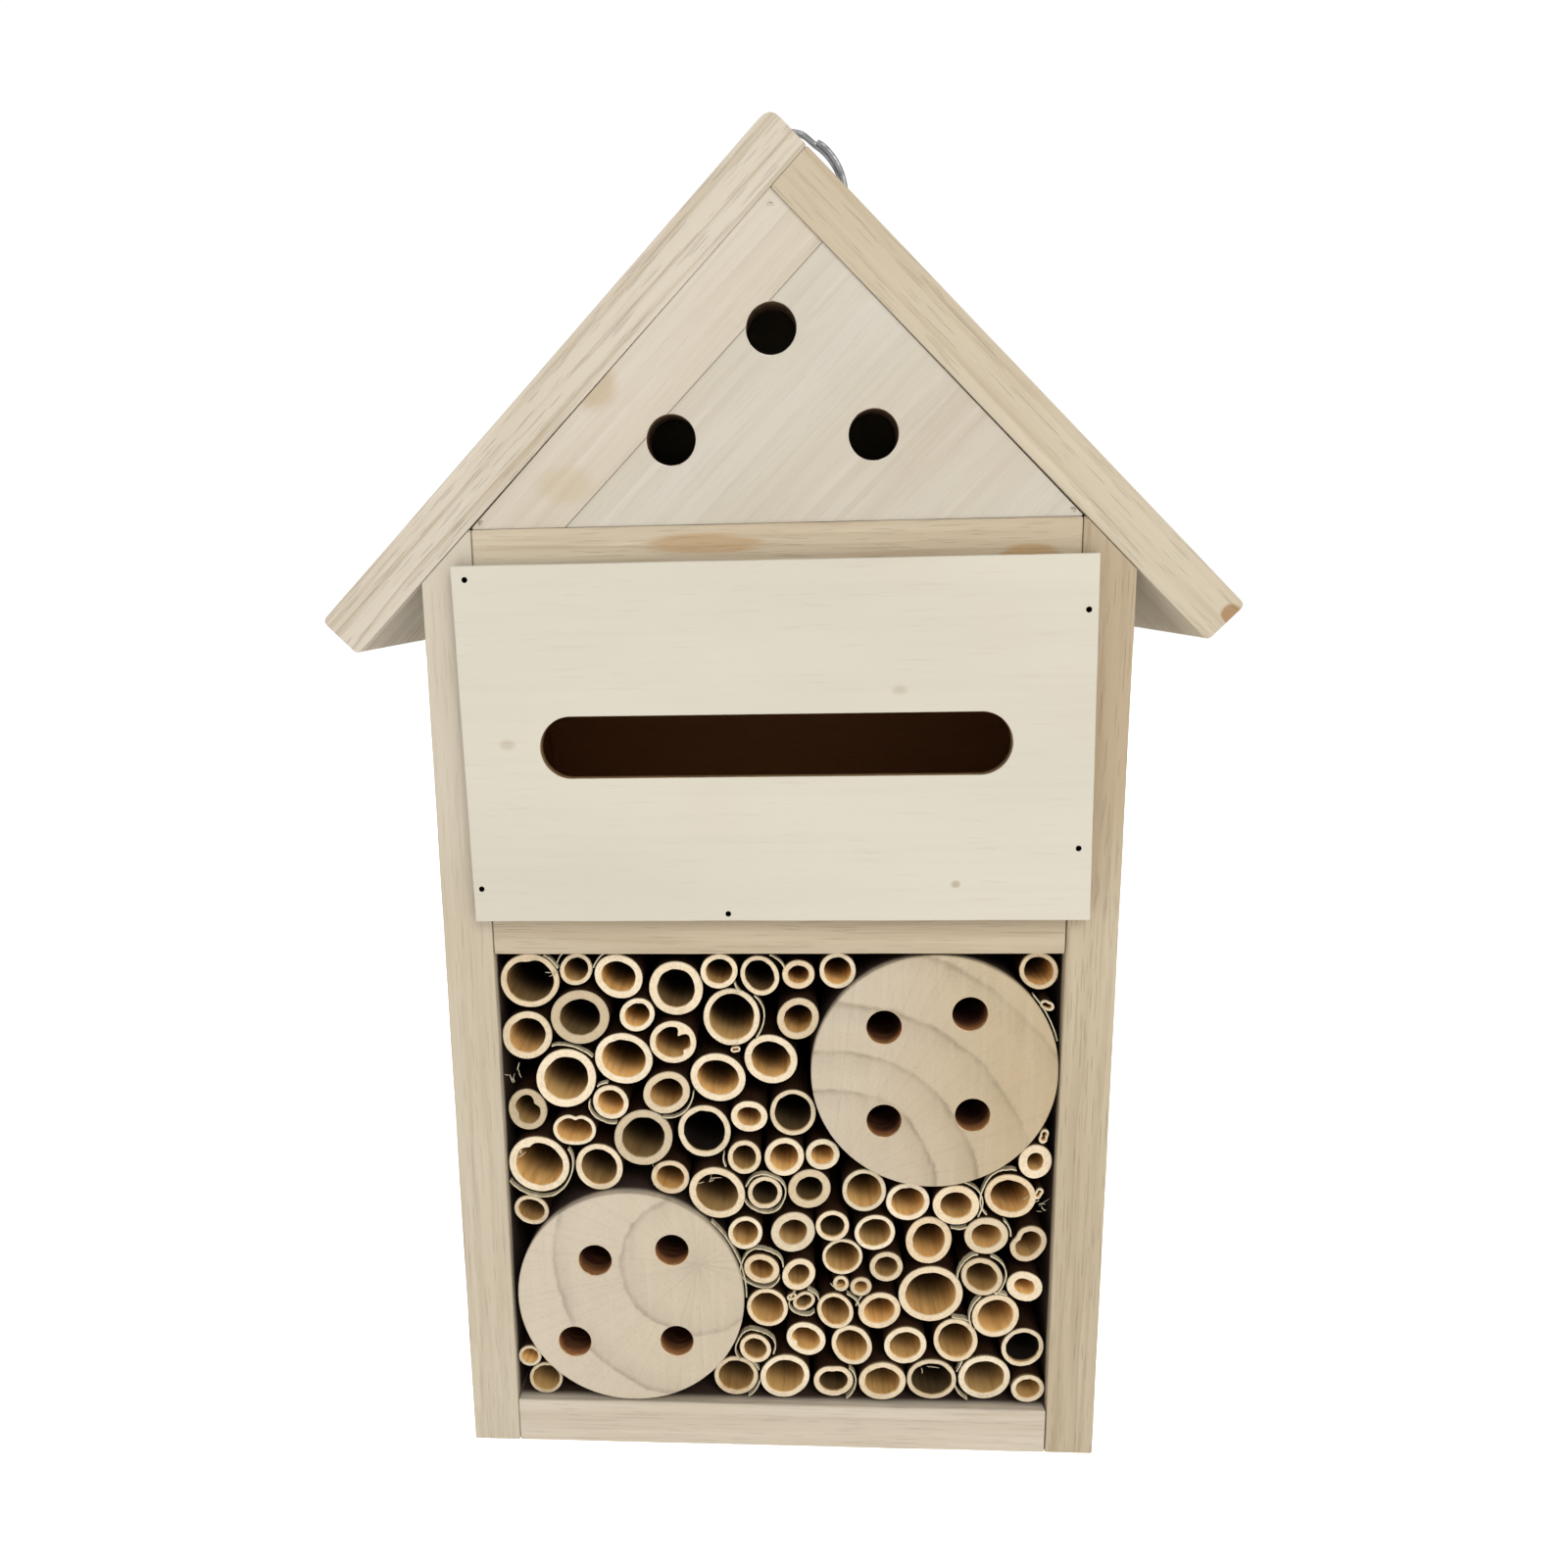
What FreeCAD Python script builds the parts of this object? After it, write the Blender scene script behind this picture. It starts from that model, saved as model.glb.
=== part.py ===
import FreeCAD, Part

import math
import os

import Sketcher

# Insect hotel: a small pitched-roof house of plain boards.
# Frame: +Z up, +X to the right, the front faces -Y. The origin is under the middle of the body.
# All sizes are in millimetres.

DRIVING = {
    # boards of the body
    "body_width": 132.0,
    "body_depth": 80.0,
    "board": 10.0,
    "bay_height": 99.5,
    "shoulder": 182.0,
    "floor_drop": 0.5,
    # roof
    "roof_pitch": 45.0,
    "roof_board": 9.0,
    "roof_span": 171.0,
    # gable panel
    "gable_board": 9.0,
    "gable_setback": 0.5,
    "gable_hole": 9.0,
    "gable_top_hole_drop": 23.0,
    "gable_low_hole_drop": 41.5,
    "gable_low_hole_spread": 18.3,
    # thin plywood panels
    "back_ply": 3.0,
    "slot_ply": 3.0,
    "slot_panel_margin": 6.8,
    "slot_panel_lean": 1.1,
    "slot_panel_shift": 0.6,
    "slot_panel_lap_foot": 2.5,
    "slot_panel_lap_head": 3.5,
    "slot_length": 88.5,
    "slot_height": 11.8,
    # sawn log blocks
    "upper_log": 49.0,
    "upper_log_gap": 0.3,
    "lower_log": 48.0,
    "lower_log_gap": 1.0,
    "log_setback": 0.5,
    "log_hole": 7.0,
    "log_hole_depth": 55.0,
    # reeds
    "reed_setback": 1.0,
    "reed_stagger": 0.35,
    "reed_clearance": 0.12,
    # brads
    "brad_diameter": 1.1,
    "brad_clearance": 0.05,
    "side_brad_length": 25.0,
    "side_brad_inset": 15.0,
    "roof_brad_length": 16.0,
    "ridge_brad_length": 25.0,
    "roof_brad_inset": 14.0,
    "panel_brad_length": 13.0,
    "gable_brad_slant": 35.0,
    "gable_brad_inset": 2.0,
    "gable_brad_rise": 0.95,
    "gable_top_brad_inset": 3.0,
    "slot_brad_inset": 1.0,
    "shelf_brad_across": -9.0,
    # hanging eye and ring
    "eye_across": 2.0,
    "eye_drop": 8.2,
    "eye_wire": 2.0,
    "eye_hole": 4.8,
    "eye_stand": 6.0,
    "eye_screw_length": 14.0,
    "ring_outer": 30.0,
    "ring_band": 1.8,
    "ring_thickness": 3.2,
}

# Offsets of the four drilled holes from the middle of each log block.
UPPER_LOG_HOLES = [(-10.0, 9.6), (6.8, 12.4), (-9.8, -10.2), (7.8, -8.8)]
LOWER_LOG_HOLES = [(-7.2, 8.6), (9.0, 11.2), (-12.2, -10.4), (9.6, -9.8)]

# Depth below the head, or height above the foot, of the side brads of the slot panel.
SLOT_BRAD_DROPS = {"left": 2.6, "right": 10.0}
SLOT_BRAD_RISES = {"left": 6.6, "right": 14.0}

# Heights of the back panel's side brads, as shares of the shoulder height.
BACK_BRAD_SHARES = (0.12, 0.5, 0.88)
BACK_BRAD_ACROSS = 30.0

# Each reed's seat in the bay, across and up in hundredths of the bay, then its
# outside diameter and its bore. The bundle settles from these seats.
REEDS = [
    (6, 94, 12, 9.5), (14, 96, 7, 5), (22, 95, 10, 7), (32, 92, 11.5, 8), (40, 96, 7.5, 5),
    (47, 95, 8.5, 6.5), (54, 95, 6.5, 4), (61, 96, 7.5, 5.5), (96, 96, 8, 6),
    (15, 86, 12, 8), (25, 86, 7.5, 5), (42, 86, 12, 9.5), (54, 86, 9, 6),
    (5, 81, 10.5, 7.5), (31, 81, 9.5, 7), (22, 78, 12, 9), (49, 77, 11, 8),
    (12, 73, 13, 9.5), (39, 73, 11.5, 8.5), (30, 70, 10, 7), (20, 67, 7.5, 5),
    (4, 66, 9, 6), (45, 65, 7.5, 5), (54, 66, 10, 8), (13, 62, 9, 6), (26, 59, 12.5, 9),
    (37, 61, 11.5, 9), (6, 54, 13, 10), (17, 53, 10.5, 8), (44, 56, 7.5, 5.5),
    (51, 56, 8.5, 6), (58, 56, 7, 4.5), (96, 56, 7.5, 4), (30, 50, 8, 5.5),
    (38, 49, 12, 9), (47, 48, 7.5, 5.5), (56, 49, 9, 5.5), (66, 49, 9.5, 7.5),
    (74, 46, 9, 6.5), (83, 46, 9.5, 6), (92, 47, 10.5, 8), (4, 43, 7.5, 5.5),
    (44, 39, 7.5, 5.5), (53, 39, 9.5, 6), (60, 41, 7, 5), (68, 39, 8.5, 6.5),
    (78, 37, 10.5, 7.5), (88, 39, 9, 6), (96, 37, 8.5, 6), (47, 31, 7.5, 5),
    (54, 29, 7.5, 5), (62, 33, 8.5, 7), (70, 32, 7, 4.5), (79, 25, 13.5, 10.5),
    (88, 30, 9, 6.5), (95, 27, 7.5, 4), (62, 26, 3.5, 2), (65, 27, 4.5, 2.5),
    (56, 23, 5, 3.5), (48, 22, 9, 7), (61, 20, 8.5, 6.5), (69, 21, 9, 6.5),
    (89, 21, 10, 7.5), (95, 14, 9, 7), (46, 12, 7, 5), (55, 14, 8.5, 6),
    (64, 12, 9.5, 7), (74, 13, 9, 6.5), (83, 14, 10, 7.5), (3, 10, 5, 3.5),
    (6, 4, 7.5, 6), (42, 4, 9.5, 7.5), (51, 5, 11, 8.5), (61, 4, 8.5, 6),
    (69, 5, 10, 7.5), (79, 5, 10.5, 8.5), (89, 5, 11, 8.5), (97, 4, 7, 5),
]

THICK_REED = 9.5
THIN_REEDS_PER_BUNDLE = 7

# The cut ends stand in and out in a few steps, taken in a stride so neighbours differ.
STAGGER_STEPS = 5
STAGGER_STRIDE = 7

# While the bundle settles, a reed that stays jammed is swapped for one a little thinner.
SETTLING_PASSES = 80
SETTLING_ROUNDS = 60
THINNER = 0.98

# What follows from the driving sizes.
DERIVED = {
    "half_width": "Dims.body_width / 2",
    "half_bay": "Dims.body_width / 2 - Dims.board",
    "front": "-Dims.body_depth / 2",
    "rear": "Dims.body_depth / 2",
    "board_depth": "Dims.body_depth - Dims.back_ply",
    "back_face": "Dims.body_depth / 2 - Dims.back_ply",
    "bay_top": "Dims.board + Dims.bay_height",
    "shelf_top": "Dims.bay_height + 2 * Dims.board",
    "roof_rise": "tan(Dims.roof_pitch * 1 deg)",
    "side_inner_top": "Dims.shoulder + Dims.board * tan(Dims.roof_pitch * 1 deg)",
    "under_ridge": "Dims.shoulder + Dims.body_width / 2 * tan(Dims.roof_pitch * 1 deg)",
    "floor_top": "Derived.side_inner_top - Dims.floor_drop",
    "floor_under": "Derived.floor_top - Dims.board",
    "ridge_top": "Derived.under_ridge + Dims.roof_board / cos(Dims.roof_pitch * 1 deg)",
    "roof_reach": "Dims.roof_span / 2",
    "eave_height": "Derived.ridge_top - Derived.roof_reach * Derived.roof_rise",
    "eave_under_across": "Derived.roof_reach - Dims.roof_board * sin(Dims.roof_pitch * 1 deg)",
    "eave_under_height": "Derived.eave_height - Dims.roof_board * cos(Dims.roof_pitch * 1 deg)",
    "ridge_lap_across": "(Derived.ridge_top - Derived.under_ridge) / (2 * Derived.roof_rise)",
    "ridge_lap_height": "(Derived.ridge_top + Derived.under_ridge) / 2",
    "gable_front": "Derived.front + Dims.gable_setback",
    "gable_radius": "Dims.gable_hole / 2",
    "gable_top_hole_height": "Derived.under_ridge - Dims.gable_top_hole_drop",
    "gable_low_hole_height": "Derived.under_ridge - Dims.gable_low_hole_drop",
    "slot_panel_front": "Derived.front - Dims.slot_ply",
    "slot_foot": "Derived.shelf_top - Dims.slot_panel_lap_foot",
    "slot_head": "Derived.floor_under + Dims.slot_panel_lap_head",
    "slot_foot_left": "Dims.slot_panel_margin - Derived.half_width + Dims.slot_panel_shift",
    "slot_foot_right": "Derived.half_width - Dims.slot_panel_margin + Dims.slot_panel_shift",
    "slot_head_left": "Derived.slot_foot_left - Dims.slot_panel_lean",
    "slot_head_right": "Derived.slot_foot_right - Dims.slot_panel_lean",
    "slot_middle": "(Derived.slot_foot + Derived.slot_head) / 2",
    "slot_radius": "Dims.slot_height / 2",
    "slot_left_end": "-Dims.slot_length / 2 + Dims.slot_height / 2",
    "slot_right_end": "Dims.slot_length / 2 - Dims.slot_height / 2",
    "eye_height": "Derived.ridge_top - Dims.eye_drop",
    "eye_loop_radius": "(Dims.eye_hole + Dims.eye_wire) / 2",
    "eye_depth": "Derived.rear + Dims.eye_stand",
    "ring_radius": "(Dims.ring_outer - Dims.ring_band) / 2",
    "ring_height": "Derived.eye_height + Derived.ring_radius",
}

document = FreeCAD.newDocument("InsectHotel")
dims = document.addObject("Spreadsheet::Sheet", "Dims")
derived = document.addObject("App::VarSet", "Derived")

AXIS_X = FreeCAD.Vector(1, 0, 0)
AXIS_Y = FreeCAD.Vector(0, 1, 0)
AXIS_Z = FreeCAD.Vector(0, 0, 1)

nodes = []


def fill_sheet():
    """Write the driving sizes, one aliased row each, and bind what follows from them."""
    row = 1
    for alias, size in DRIVING.items():
        write_row(row, alias, size)
        row += 1
    for number, (across, up, outer, bore) in enumerate(REEDS, start=1):
        for word, size in (("across", across), ("up", up), ("outer", outer), ("bore", bore)):
            write_row(row, f"reed{number:02d}_{word}", size)
            row += 1
    document.recompute()
    for alias, formula in DERIVED.items():
        derived.addProperty("App::PropertyFloat", alias, "Sizes")
        derived.setExpression(alias, formula)
    for number in range(1, len(REEDS) + 1):
        derived.addProperty("App::PropertyFloat", f"reed{number:02d}_grade", "Sizes")
    document.recompute()


def write_row(row, alias, size):
    """Write one driving size into the sheet."""
    dims.set(f"A{row}", alias.replace("_", " "))
    dims.set(f"B{row}", str(size))
    dims.setAlias(f"B{row}", alias)


def reference(name):
    """The expression for a named size; a leading minus is kept."""
    sign = "-" if name.startswith("-") else ""
    bare = name.lstrip("-")
    holder = "Derived" if bare in DERIVED else "Dims"
    return f"{sign}{holder}.{bare}"


def value(name):
    """The number of a named size; a leading minus is kept."""
    sign = -1.0 if name.startswith("-") else 1.0
    bare = name.lstrip("-")
    holder = derived if bare in DERIVED else dims
    return sign * float(getattr(holder, bare))


# ---------------------------------------------------------------- sketches and boards


def new_sketch(body, name):
    """A sketch on the body's own upright XZ plane."""
    sketch = body.newObject("Sketcher::SketchObject", name)
    planes = [item for item in body.Origin.OriginFeatures if item.Role == "XZ_Plane"]
    sketch.AttachmentSupport = [(planes[0], "")]
    sketch.MapMode = "FlatFace"
    return sketch


def pin_point(sketch, geometry, position, across, up):
    """Fix a point of the sketch at two named distances from the origin."""
    for kind, name, axis in (("DistanceX", across, -2), ("DistanceY", up, -1)):
        if name == "0":
            sketch.addConstraint(Sketcher.Constraint("PointOnObject", geometry, position, axis))
            continue
        rule = Sketcher.Constraint(kind, -1, 1, geometry, position, value(name))
        index = sketch.addConstraint(rule)
        sketch.setExpression(f"Constraints[{index}]", reference(name))


def place(name):
    """A named size as a number, where 0 stands for the origin's own line."""
    return 0.0 if name == "0" else value(name)


def draw_outline(sketch, corners):
    """A closed outline with straight edges, each corner at two named distances."""
    points = [FreeCAD.Vector(place(across), place(up), 0) for across, up in corners]
    count = len(points)
    for index in range(count):
        sketch.addGeometry(Part.LineSegment(points[index], points[(index + 1) % count]))
    for index in range(count):
        following = (index + 1) % count
        sketch.addConstraint(Sketcher.Constraint("Coincident", index, 2, following, 1))
    for index, (across, up) in enumerate(corners):
        pin_point(sketch, index, 1, across, up)


def draw_circle(sketch, across, up, radius):
    """A circle with its middle at two named distances and a named radius."""
    middle = FreeCAD.Vector(place(across), place(up), 0)
    index = sketch.addGeometry(Part.Circle(middle, AXIS_Z, value(radius)))
    pin_point(sketch, index, 3, across, up)
    rule = sketch.addConstraint(Sketcher.Constraint("Radius", index, value(radius)))
    sketch.setExpression(f"Constraints[{rule}]", reference(radius))


def draw_slot(sketch, left, right, up, radius):
    """A level slot with round ends, between two named end centres."""
    size = value(radius)
    ends = [FreeCAD.Vector(value(name), value(up), 0) for name in (left, right)]
    lift = FreeCAD.Vector(0, size, 0)
    quarter = math.pi / 2
    left_end = Part.ArcOfCircle(Part.Circle(ends[0], AXIS_Z, size), quarter, 3 * quarter)
    right_end = Part.ArcOfCircle(Part.Circle(ends[1], AXIS_Z, size), -quarter, quarter)
    sketch.addGeometry(left_end)
    sketch.addGeometry(Part.LineSegment(ends[0] - lift, ends[1] - lift))
    sketch.addGeometry(right_end)
    sketch.addGeometry(Part.LineSegment(ends[1] + lift, ends[0] + lift))
    for index in range(4):
        rule = Sketcher.Constraint("Tangent", index, 2, (index + 1) % 4, 1)
        sketch.addConstraint(rule)
    for index, across in ((0, left), (2, right)):
        pin_point(sketch, index, 3, across, up)
        rule = sketch.addConstraint(Sketcher.Constraint("Radius", index, size))
        sketch.setExpression(f"Constraints[{rule}]", reference(radius))


def new_board(name, corners, thickness, front):
    """A flat piece: an outline seen from the front, made thick towards the rear."""
    body = document.addObject("PartDesign::Body", f"{name}_blank")
    sketch = new_sketch(body, f"{name}_outline")
    draw_outline(sketch, corners)
    pad = body.newObject("PartDesign::Pad", f"{name}_pad")
    pad.Profile = sketch
    pad.Reversed = True
    pad.setExpression("Length", reference(thickness))
    body.setExpression("Placement.Base.y", reference(front))
    document.recompute()
    return body


def cut_through(body, name, draw):
    """Cut what the draw function draws right through a board."""
    before = body.Shape.Volume
    sketch = new_sketch(body, f"{name}_outline")
    draw(sketch)
    pocket = body.newObject("PartDesign::Pocket", name)
    pocket.Profile = sketch
    pocket.Type = "ThroughAll"
    document.recompute()
    if body.Shape.Volume > before - 1.0:
        raise RuntimeError(f"{name} cut nothing")


def drilled(body, name, pilots):
    """The finished piece: a blank with the pilot holes of the brads that enter it."""
    cut = document.addObject("Part::Cut", f"{name}_cut")
    cut.Base = body
    cut.Tool = pilots
    return finish(cut, name)


def finish(piece, name):
    """Name a finished sub-part."""
    piece.Label = name
    nodes.append(piece)
    return piece


# ---------------------------------------------------------------- brads


def new_cylinder(name, radius, length, point, direction):
    """A round bar of an expressed radius and length, from a point along a direction."""
    bar = document.addObject("Part::Cylinder", name)
    bar.setExpression("Radius", radius)
    bar.setExpression("Height", length)
    turn = FreeCAD.Rotation(AXIS_Z, direction)
    bar.Placement = FreeCAD.Placement(point, turn)
    return bar


def new_brads(name, length, seats):
    """A group of brads and the pilot holes they sit in; a seat is a point and a direction."""
    brads = []
    pilots = []
    radius = "Dims.brad_diameter / 2"
    for number, (point, direction) in enumerate(seats, start=1):
        tag = f"{name}_{number}"
        brads.append(new_cylinder(f"{tag}_wire", radius, reference(length), point, direction))
        wide = f"{radius} + Dims.brad_clearance"
        start = point - direction * value("brad_clearance")
        deep = f"{reference(length)} + 2 * Dims.brad_clearance"
        pilots.append(new_cylinder(f"{tag}_pilot", wide, deep, start, direction))
    group = document.addObject("Part::Compound", f"{name}_group")
    group.Links = brads
    holes = document.addObject("Part::Compound", f"{name}_pilots")
    holes.Links = pilots
    document.recompute()
    finish(group, name)
    return holes


def joined(name, parts):
    """Several sets of pilot holes as one cutter."""
    group = document.addObject("Part::Compound", name)
    group.Links = parts
    document.recompute()
    return group


def side_brad_seats(side):
    """Seats of the level brads through one side board: two into the base, two into the shelf."""
    seats = []
    inset = value("side_brad_inset")
    depths = (value("front") + inset, value("back_face") - inset)
    half_board = value("board") / 2
    heights = (half_board, value("bay_top") + half_board)
    for up in heights:
        for depth in depths:
            point = FreeCAD.Vector(side * value("half_width"), depth, up)
            seats.append((point, FreeCAD.Vector(-side, 0, 0)))
    return seats


def roof_inward(side):
    """The direction square into one slope of the roof."""
    pitch = math.radians(value("roof_pitch"))
    return FreeCAD.Vector(-side * math.sin(pitch), 0, -math.cos(pitch))


def roof_brad_seats():
    """Seats of the brads through each slope into the bevelled top of its side board."""
    seats = []
    pitch = math.radians(value("roof_pitch"))
    for side in (-1, 1):
        inward = roof_inward(side)
        across = value("half_width") - value("board") / 4
        up = value("under_ridge") - across * math.tan(pitch)
        for depth in (value("front"), value("back_face")):
            inset = math.copysign(value("roof_brad_inset"), -depth)
            foot = FreeCAD.Vector(side * across, depth + inset, up)
            seats.append((foot - inward * value("roof_board"), inward))
    return seats


def ridge_brad_seats():
    """Seats of the brads through the lapping left roof board into the right one's end."""
    inward = roof_inward(-1)
    across = value("ridge_lap_across") / 2
    up = (value("under_ridge") + value("ridge_lap_height")) / 2
    inset = value("roof_brad_inset")
    seats = []
    for depth in (value("front") + inset, 0.0, value("rear") - 2 * inset):
        middle = FreeCAD.Vector(across, depth, up)
        seats.append((middle - inward * value("roof_board"), inward))
    return seats


def gable_brad_seats():
    """Seats of the slanting brads through the corners of the gable panel."""
    slant = math.radians(value("gable_brad_slant"))
    front = value("gable_front")
    level = value("floor_top") + value("gable_brad_rise")
    seats = []
    for side in (-1, 1):
        across = side * (value("half_bay") - value("gable_brad_inset"))
        outward = FreeCAD.Vector(0, 0, 0) - roof_inward(side)
        direction = AXIS_Y * math.cos(slant) + outward * math.sin(slant)
        seats.append((FreeCAD.Vector(across, front, level), direction))
    level = value("under_ridge") - value("gable_top_brad_inset")
    direction = AXIS_Y * math.cos(slant) + AXIS_Z * math.sin(slant)
    seats.append((FreeCAD.Vector(0, front, level), direction))
    return seats


def slot_brad_seats():
    """Seats of the brads that hold the slot panel: four into the sides, one into the shelf."""
    face = value("slot_panel_front")
    across = value("half_bay") + value("slot_brad_inset")
    seats = []
    for word, side in (("left", -1), ("right", 1)):
        levels = (value("slot_head") - SLOT_BRAD_DROPS[word], value("slot_foot") + SLOT_BRAD_RISES[word])
        for up in levels:
            seats.append((FreeCAD.Vector(side * across, face, up), AXIS_Y))
    up = value("shelf_top") - value("slot_brad_inset")
    seats.append((FreeCAD.Vector(value("shelf_brad_across"), face, up), AXIS_Y))
    return seats


def back_brad_seats():
    """Seats of the brads that hold the back panel on the rear edges of the boards."""
    forward = FreeCAD.Vector(0, -1, 0)
    rear = value("rear")
    across = value("half_width") - value("board") / 2
    half_board = value("board") / 2
    seats = []
    for side in (-1, 1):
        for share in BACK_BRAD_SHARES:
            point = FreeCAD.Vector(side * across, rear, share * value("shoulder"))
            seats.append((point, forward))
        for up in (half_board, value("floor_under") + half_board):
            seats.append((FreeCAD.Vector(side * BACK_BRAD_ACROSS, rear, up), forward))
    return seats


# ---------------------------------------------------------------- logs and reeds


def log_seats():
    """The middle of each log block in the bay and its diameter."""
    upper = value("upper_log")
    lower = value("lower_log")
    clearance = value("reed_clearance")
    upper_across = value("half_bay") - upper / 2 - clearance
    lower_across = lower / 2 + value("lower_log_gap") - value("half_bay")
    upper_up = value("bay_top") - upper / 2 - value("upper_log_gap")
    upper_seat = (upper_across, upper_up, upper)
    lower_seat = (lower_across, value("board") + lower / 2 + clearance, lower)
    return [upper_seat, lower_seat]


def new_log(name, diameter, seat, holes):
    """A round block of sawn log with blind holes drilled from the front."""
    across, up, _ = seat
    front = FreeCAD.Vector(across, value("front") + value("log_setback"), up)
    length = "Derived.board_depth - Dims.log_setback"
    block = new_cylinder(f"{name}_block", f"{reference(diameter)} / 2", length, front, AXIS_Y)
    drills = []
    for number, (right, above) in enumerate(holes, start=1):
        point = front + FreeCAD.Vector(right, 0, above)
        tag = f"{name}_hole_{number}"
        drills.append(new_cylinder(tag, "Dims.log_hole / 2", "Dims.log_hole_depth", point, AXIS_Y))
    group = joined(f"{name}_holes", drills)
    cut = document.addObject("Part::Cut", f"{name}_cut")
    cut.Base = block
    cut.Tool = group
    finish(cut, name)


def settle_reeds(logs):
    """Settle the bundle: push touching reeds apart until all lie clear within the bay.

    Returns each reed's middle and its grade, the factor on its diameters. The grade is 1
    unless a reed stays jammed, and then that reed is graded down until it fits.
    """
    bay = (value("half_bay"), value("board"), value("bay_top"))
    clearance = value("reed_clearance")
    spots = []
    radii = []
    for number in range(1, len(REEDS) + 1):
        across = value(f"reed{number:02d}_across") / 100
        up = value(f"reed{number:02d}_up") / 100
        spots.append([(2 * across - 1) * bay[0], bay[1] + up * (bay[2] - bay[1])])
        radii.append(value(f"reed{number:02d}_outer") / 2)
    grades = [1.0] * len(spots)
    for _ in range(SETTLING_ROUNDS):
        for _ in range(SETTLING_PASSES):
            sizes = [radius * grade for radius, grade in zip(radii, grades)]
            jammed = relax(spots, sizes, logs, bay, clearance)
            if not jammed:
                return spots, grades
        for index in jammed:
            grades[index] *= THINNER
    raise RuntimeError("the reeds do not fit the bay")


def relax(spots, sizes, logs, bay, clearance):
    """Push every overlapping pair apart once and return the reeds that were moved far."""
    half_bay, foot, head = bay
    slack = clearance / 4
    jammed = set()
    count = len(spots)
    for first in range(count):
        here = spots[first]
        for across, up, diameter in logs:
            reach = sizes[first] + diameter / 2 + clearance
            if push(here, [across, up], reach, False) > slack:
                jammed.add(first)
        for second in range(first + 1, count):
            reach = sizes[first] + sizes[second] + clearance
            if push(here, spots[second], reach, True) > slack:
                jammed.update((first, second))
        room = sizes[first] + clearance
        across = min(max(here[0], room - half_bay), half_bay - room)
        up = min(max(here[1], foot + room), head - room)
        if max(abs(across - here[0]), abs(up - here[1])) > slack:
            jammed.add(first)
        here[0] = across
        here[1] = up
    return jammed


def push(here, there, reach, both):
    """Move a reed, and its neighbour if both are free, out to the given reach."""
    right = here[0] - there[0]
    above = here[1] - there[1]
    distance = math.hypot(right, above)
    overlap = reach - distance
    if overlap <= 0:
        return 0.0
    step = overlap / distance
    if both:
        step /= 2
        there[0] -= right * step
        there[1] -= above * step
    here[0] += right * step
    here[1] += above * step
    return overlap


def new_reed(number, spot):
    """One hollow reed, open at the front and butted against the back panel."""
    tag = f"reed{number:02d}"
    stagger = (STAGGER_STRIDE * number) % STAGGER_STEPS
    setback = f"(Dims.reed_setback + {stagger} * Dims.reed_stagger)"
    front = value("front") + value("reed_setback") + stagger * value("reed_stagger")
    point = FreeCAD.Vector(spot[0], front, spot[1])
    length = f"Derived.board_depth - {setback}"
    outer = f"Dims.{tag}_outer * Derived.{tag}_grade / 2"
    inner = f"Dims.{tag}_bore * Derived.{tag}_grade / 2"
    cut = document.addObject("Part::Cut", f"{tag}_cut")
    cut.Base = new_cylinder(f"{tag}_stem", outer, length, point, AXIS_Y)
    cut.Tool = new_cylinder(f"{tag}_hollow", inner, length, point, AXIS_Y)
    return cut


def build_reeds():
    """All reeds: a thick one is a node of its own, thin ones are bundled."""
    spots, grades = settle_reeds(log_seats())
    print(f"{len(spots)} reeds, graded down: {sum(grade < 1 for grade in grades)}")
    for number, grade in enumerate(grades, start=1):
        setattr(derived, f"reed{number:02d}_grade", grade)
    thin = []
    thick = 0
    for number, spot in enumerate(spots, start=1):
        reed = new_reed(number, spot)
        if value(f"reed{number:02d}_outer") >= THICK_REED:
            thick += 1
            finish(reed, f"reed_{thick:02d}")
        else:
            thin.append(reed)
    bundles = range(0, len(thin), THIN_REEDS_PER_BUNDLE)
    for number, start in enumerate(bundles, start=1):
        bundle = document.addObject("Part::Compound", f"thin_reeds_{number}_bundle")
        bundle.Links = thin[start:start + THIN_REEDS_PER_BUNDLE]
        finish(bundle, f"thin_reeds_{number}")
    document.recompute()


# ---------------------------------------------------------------- eye and ring


def new_eye():
    """A screw eye in the rear end of the ridge; returns the pilot hole of its screw."""
    middle = FreeCAD.Vector(value("eye_across"), value("eye_depth"), value("eye_height"))
    loop = document.addObject("Part::Torus", "eye_loop")
    loop.setExpression("Radius1", "Derived.eye_loop_radius")
    loop.setExpression("Radius2", "Dims.eye_wire / 2")
    loop.Placement = FreeCAD.Placement(middle, FreeCAD.Rotation(AXIS_Y, 90))
    forward = FreeCAD.Vector(0, -1, 0)
    stem_start = middle + forward * value("eye_loop_radius")
    stem_length = "Dims.eye_stand - Derived.eye_loop_radius + Dims.eye_screw_length"
    stem = new_cylinder("eye_stem", "Dims.eye_wire / 2", stem_length, stem_start, forward)
    eye = document.addObject("Part::Fuse", "eye_fuse")
    eye.Base = loop
    eye.Tool = stem
    finish(eye, "screw_eye")
    mouth = FreeCAD.Vector(middle.x, value("rear") + value("brad_clearance"), middle.z)
    wide = "Dims.eye_wire / 2 + Dims.brad_clearance"
    deep = "Dims.eye_screw_length + 2 * Dims.brad_clearance"
    return new_cylinder("eye_pilot", wide, deep, mouth, forward)


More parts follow.
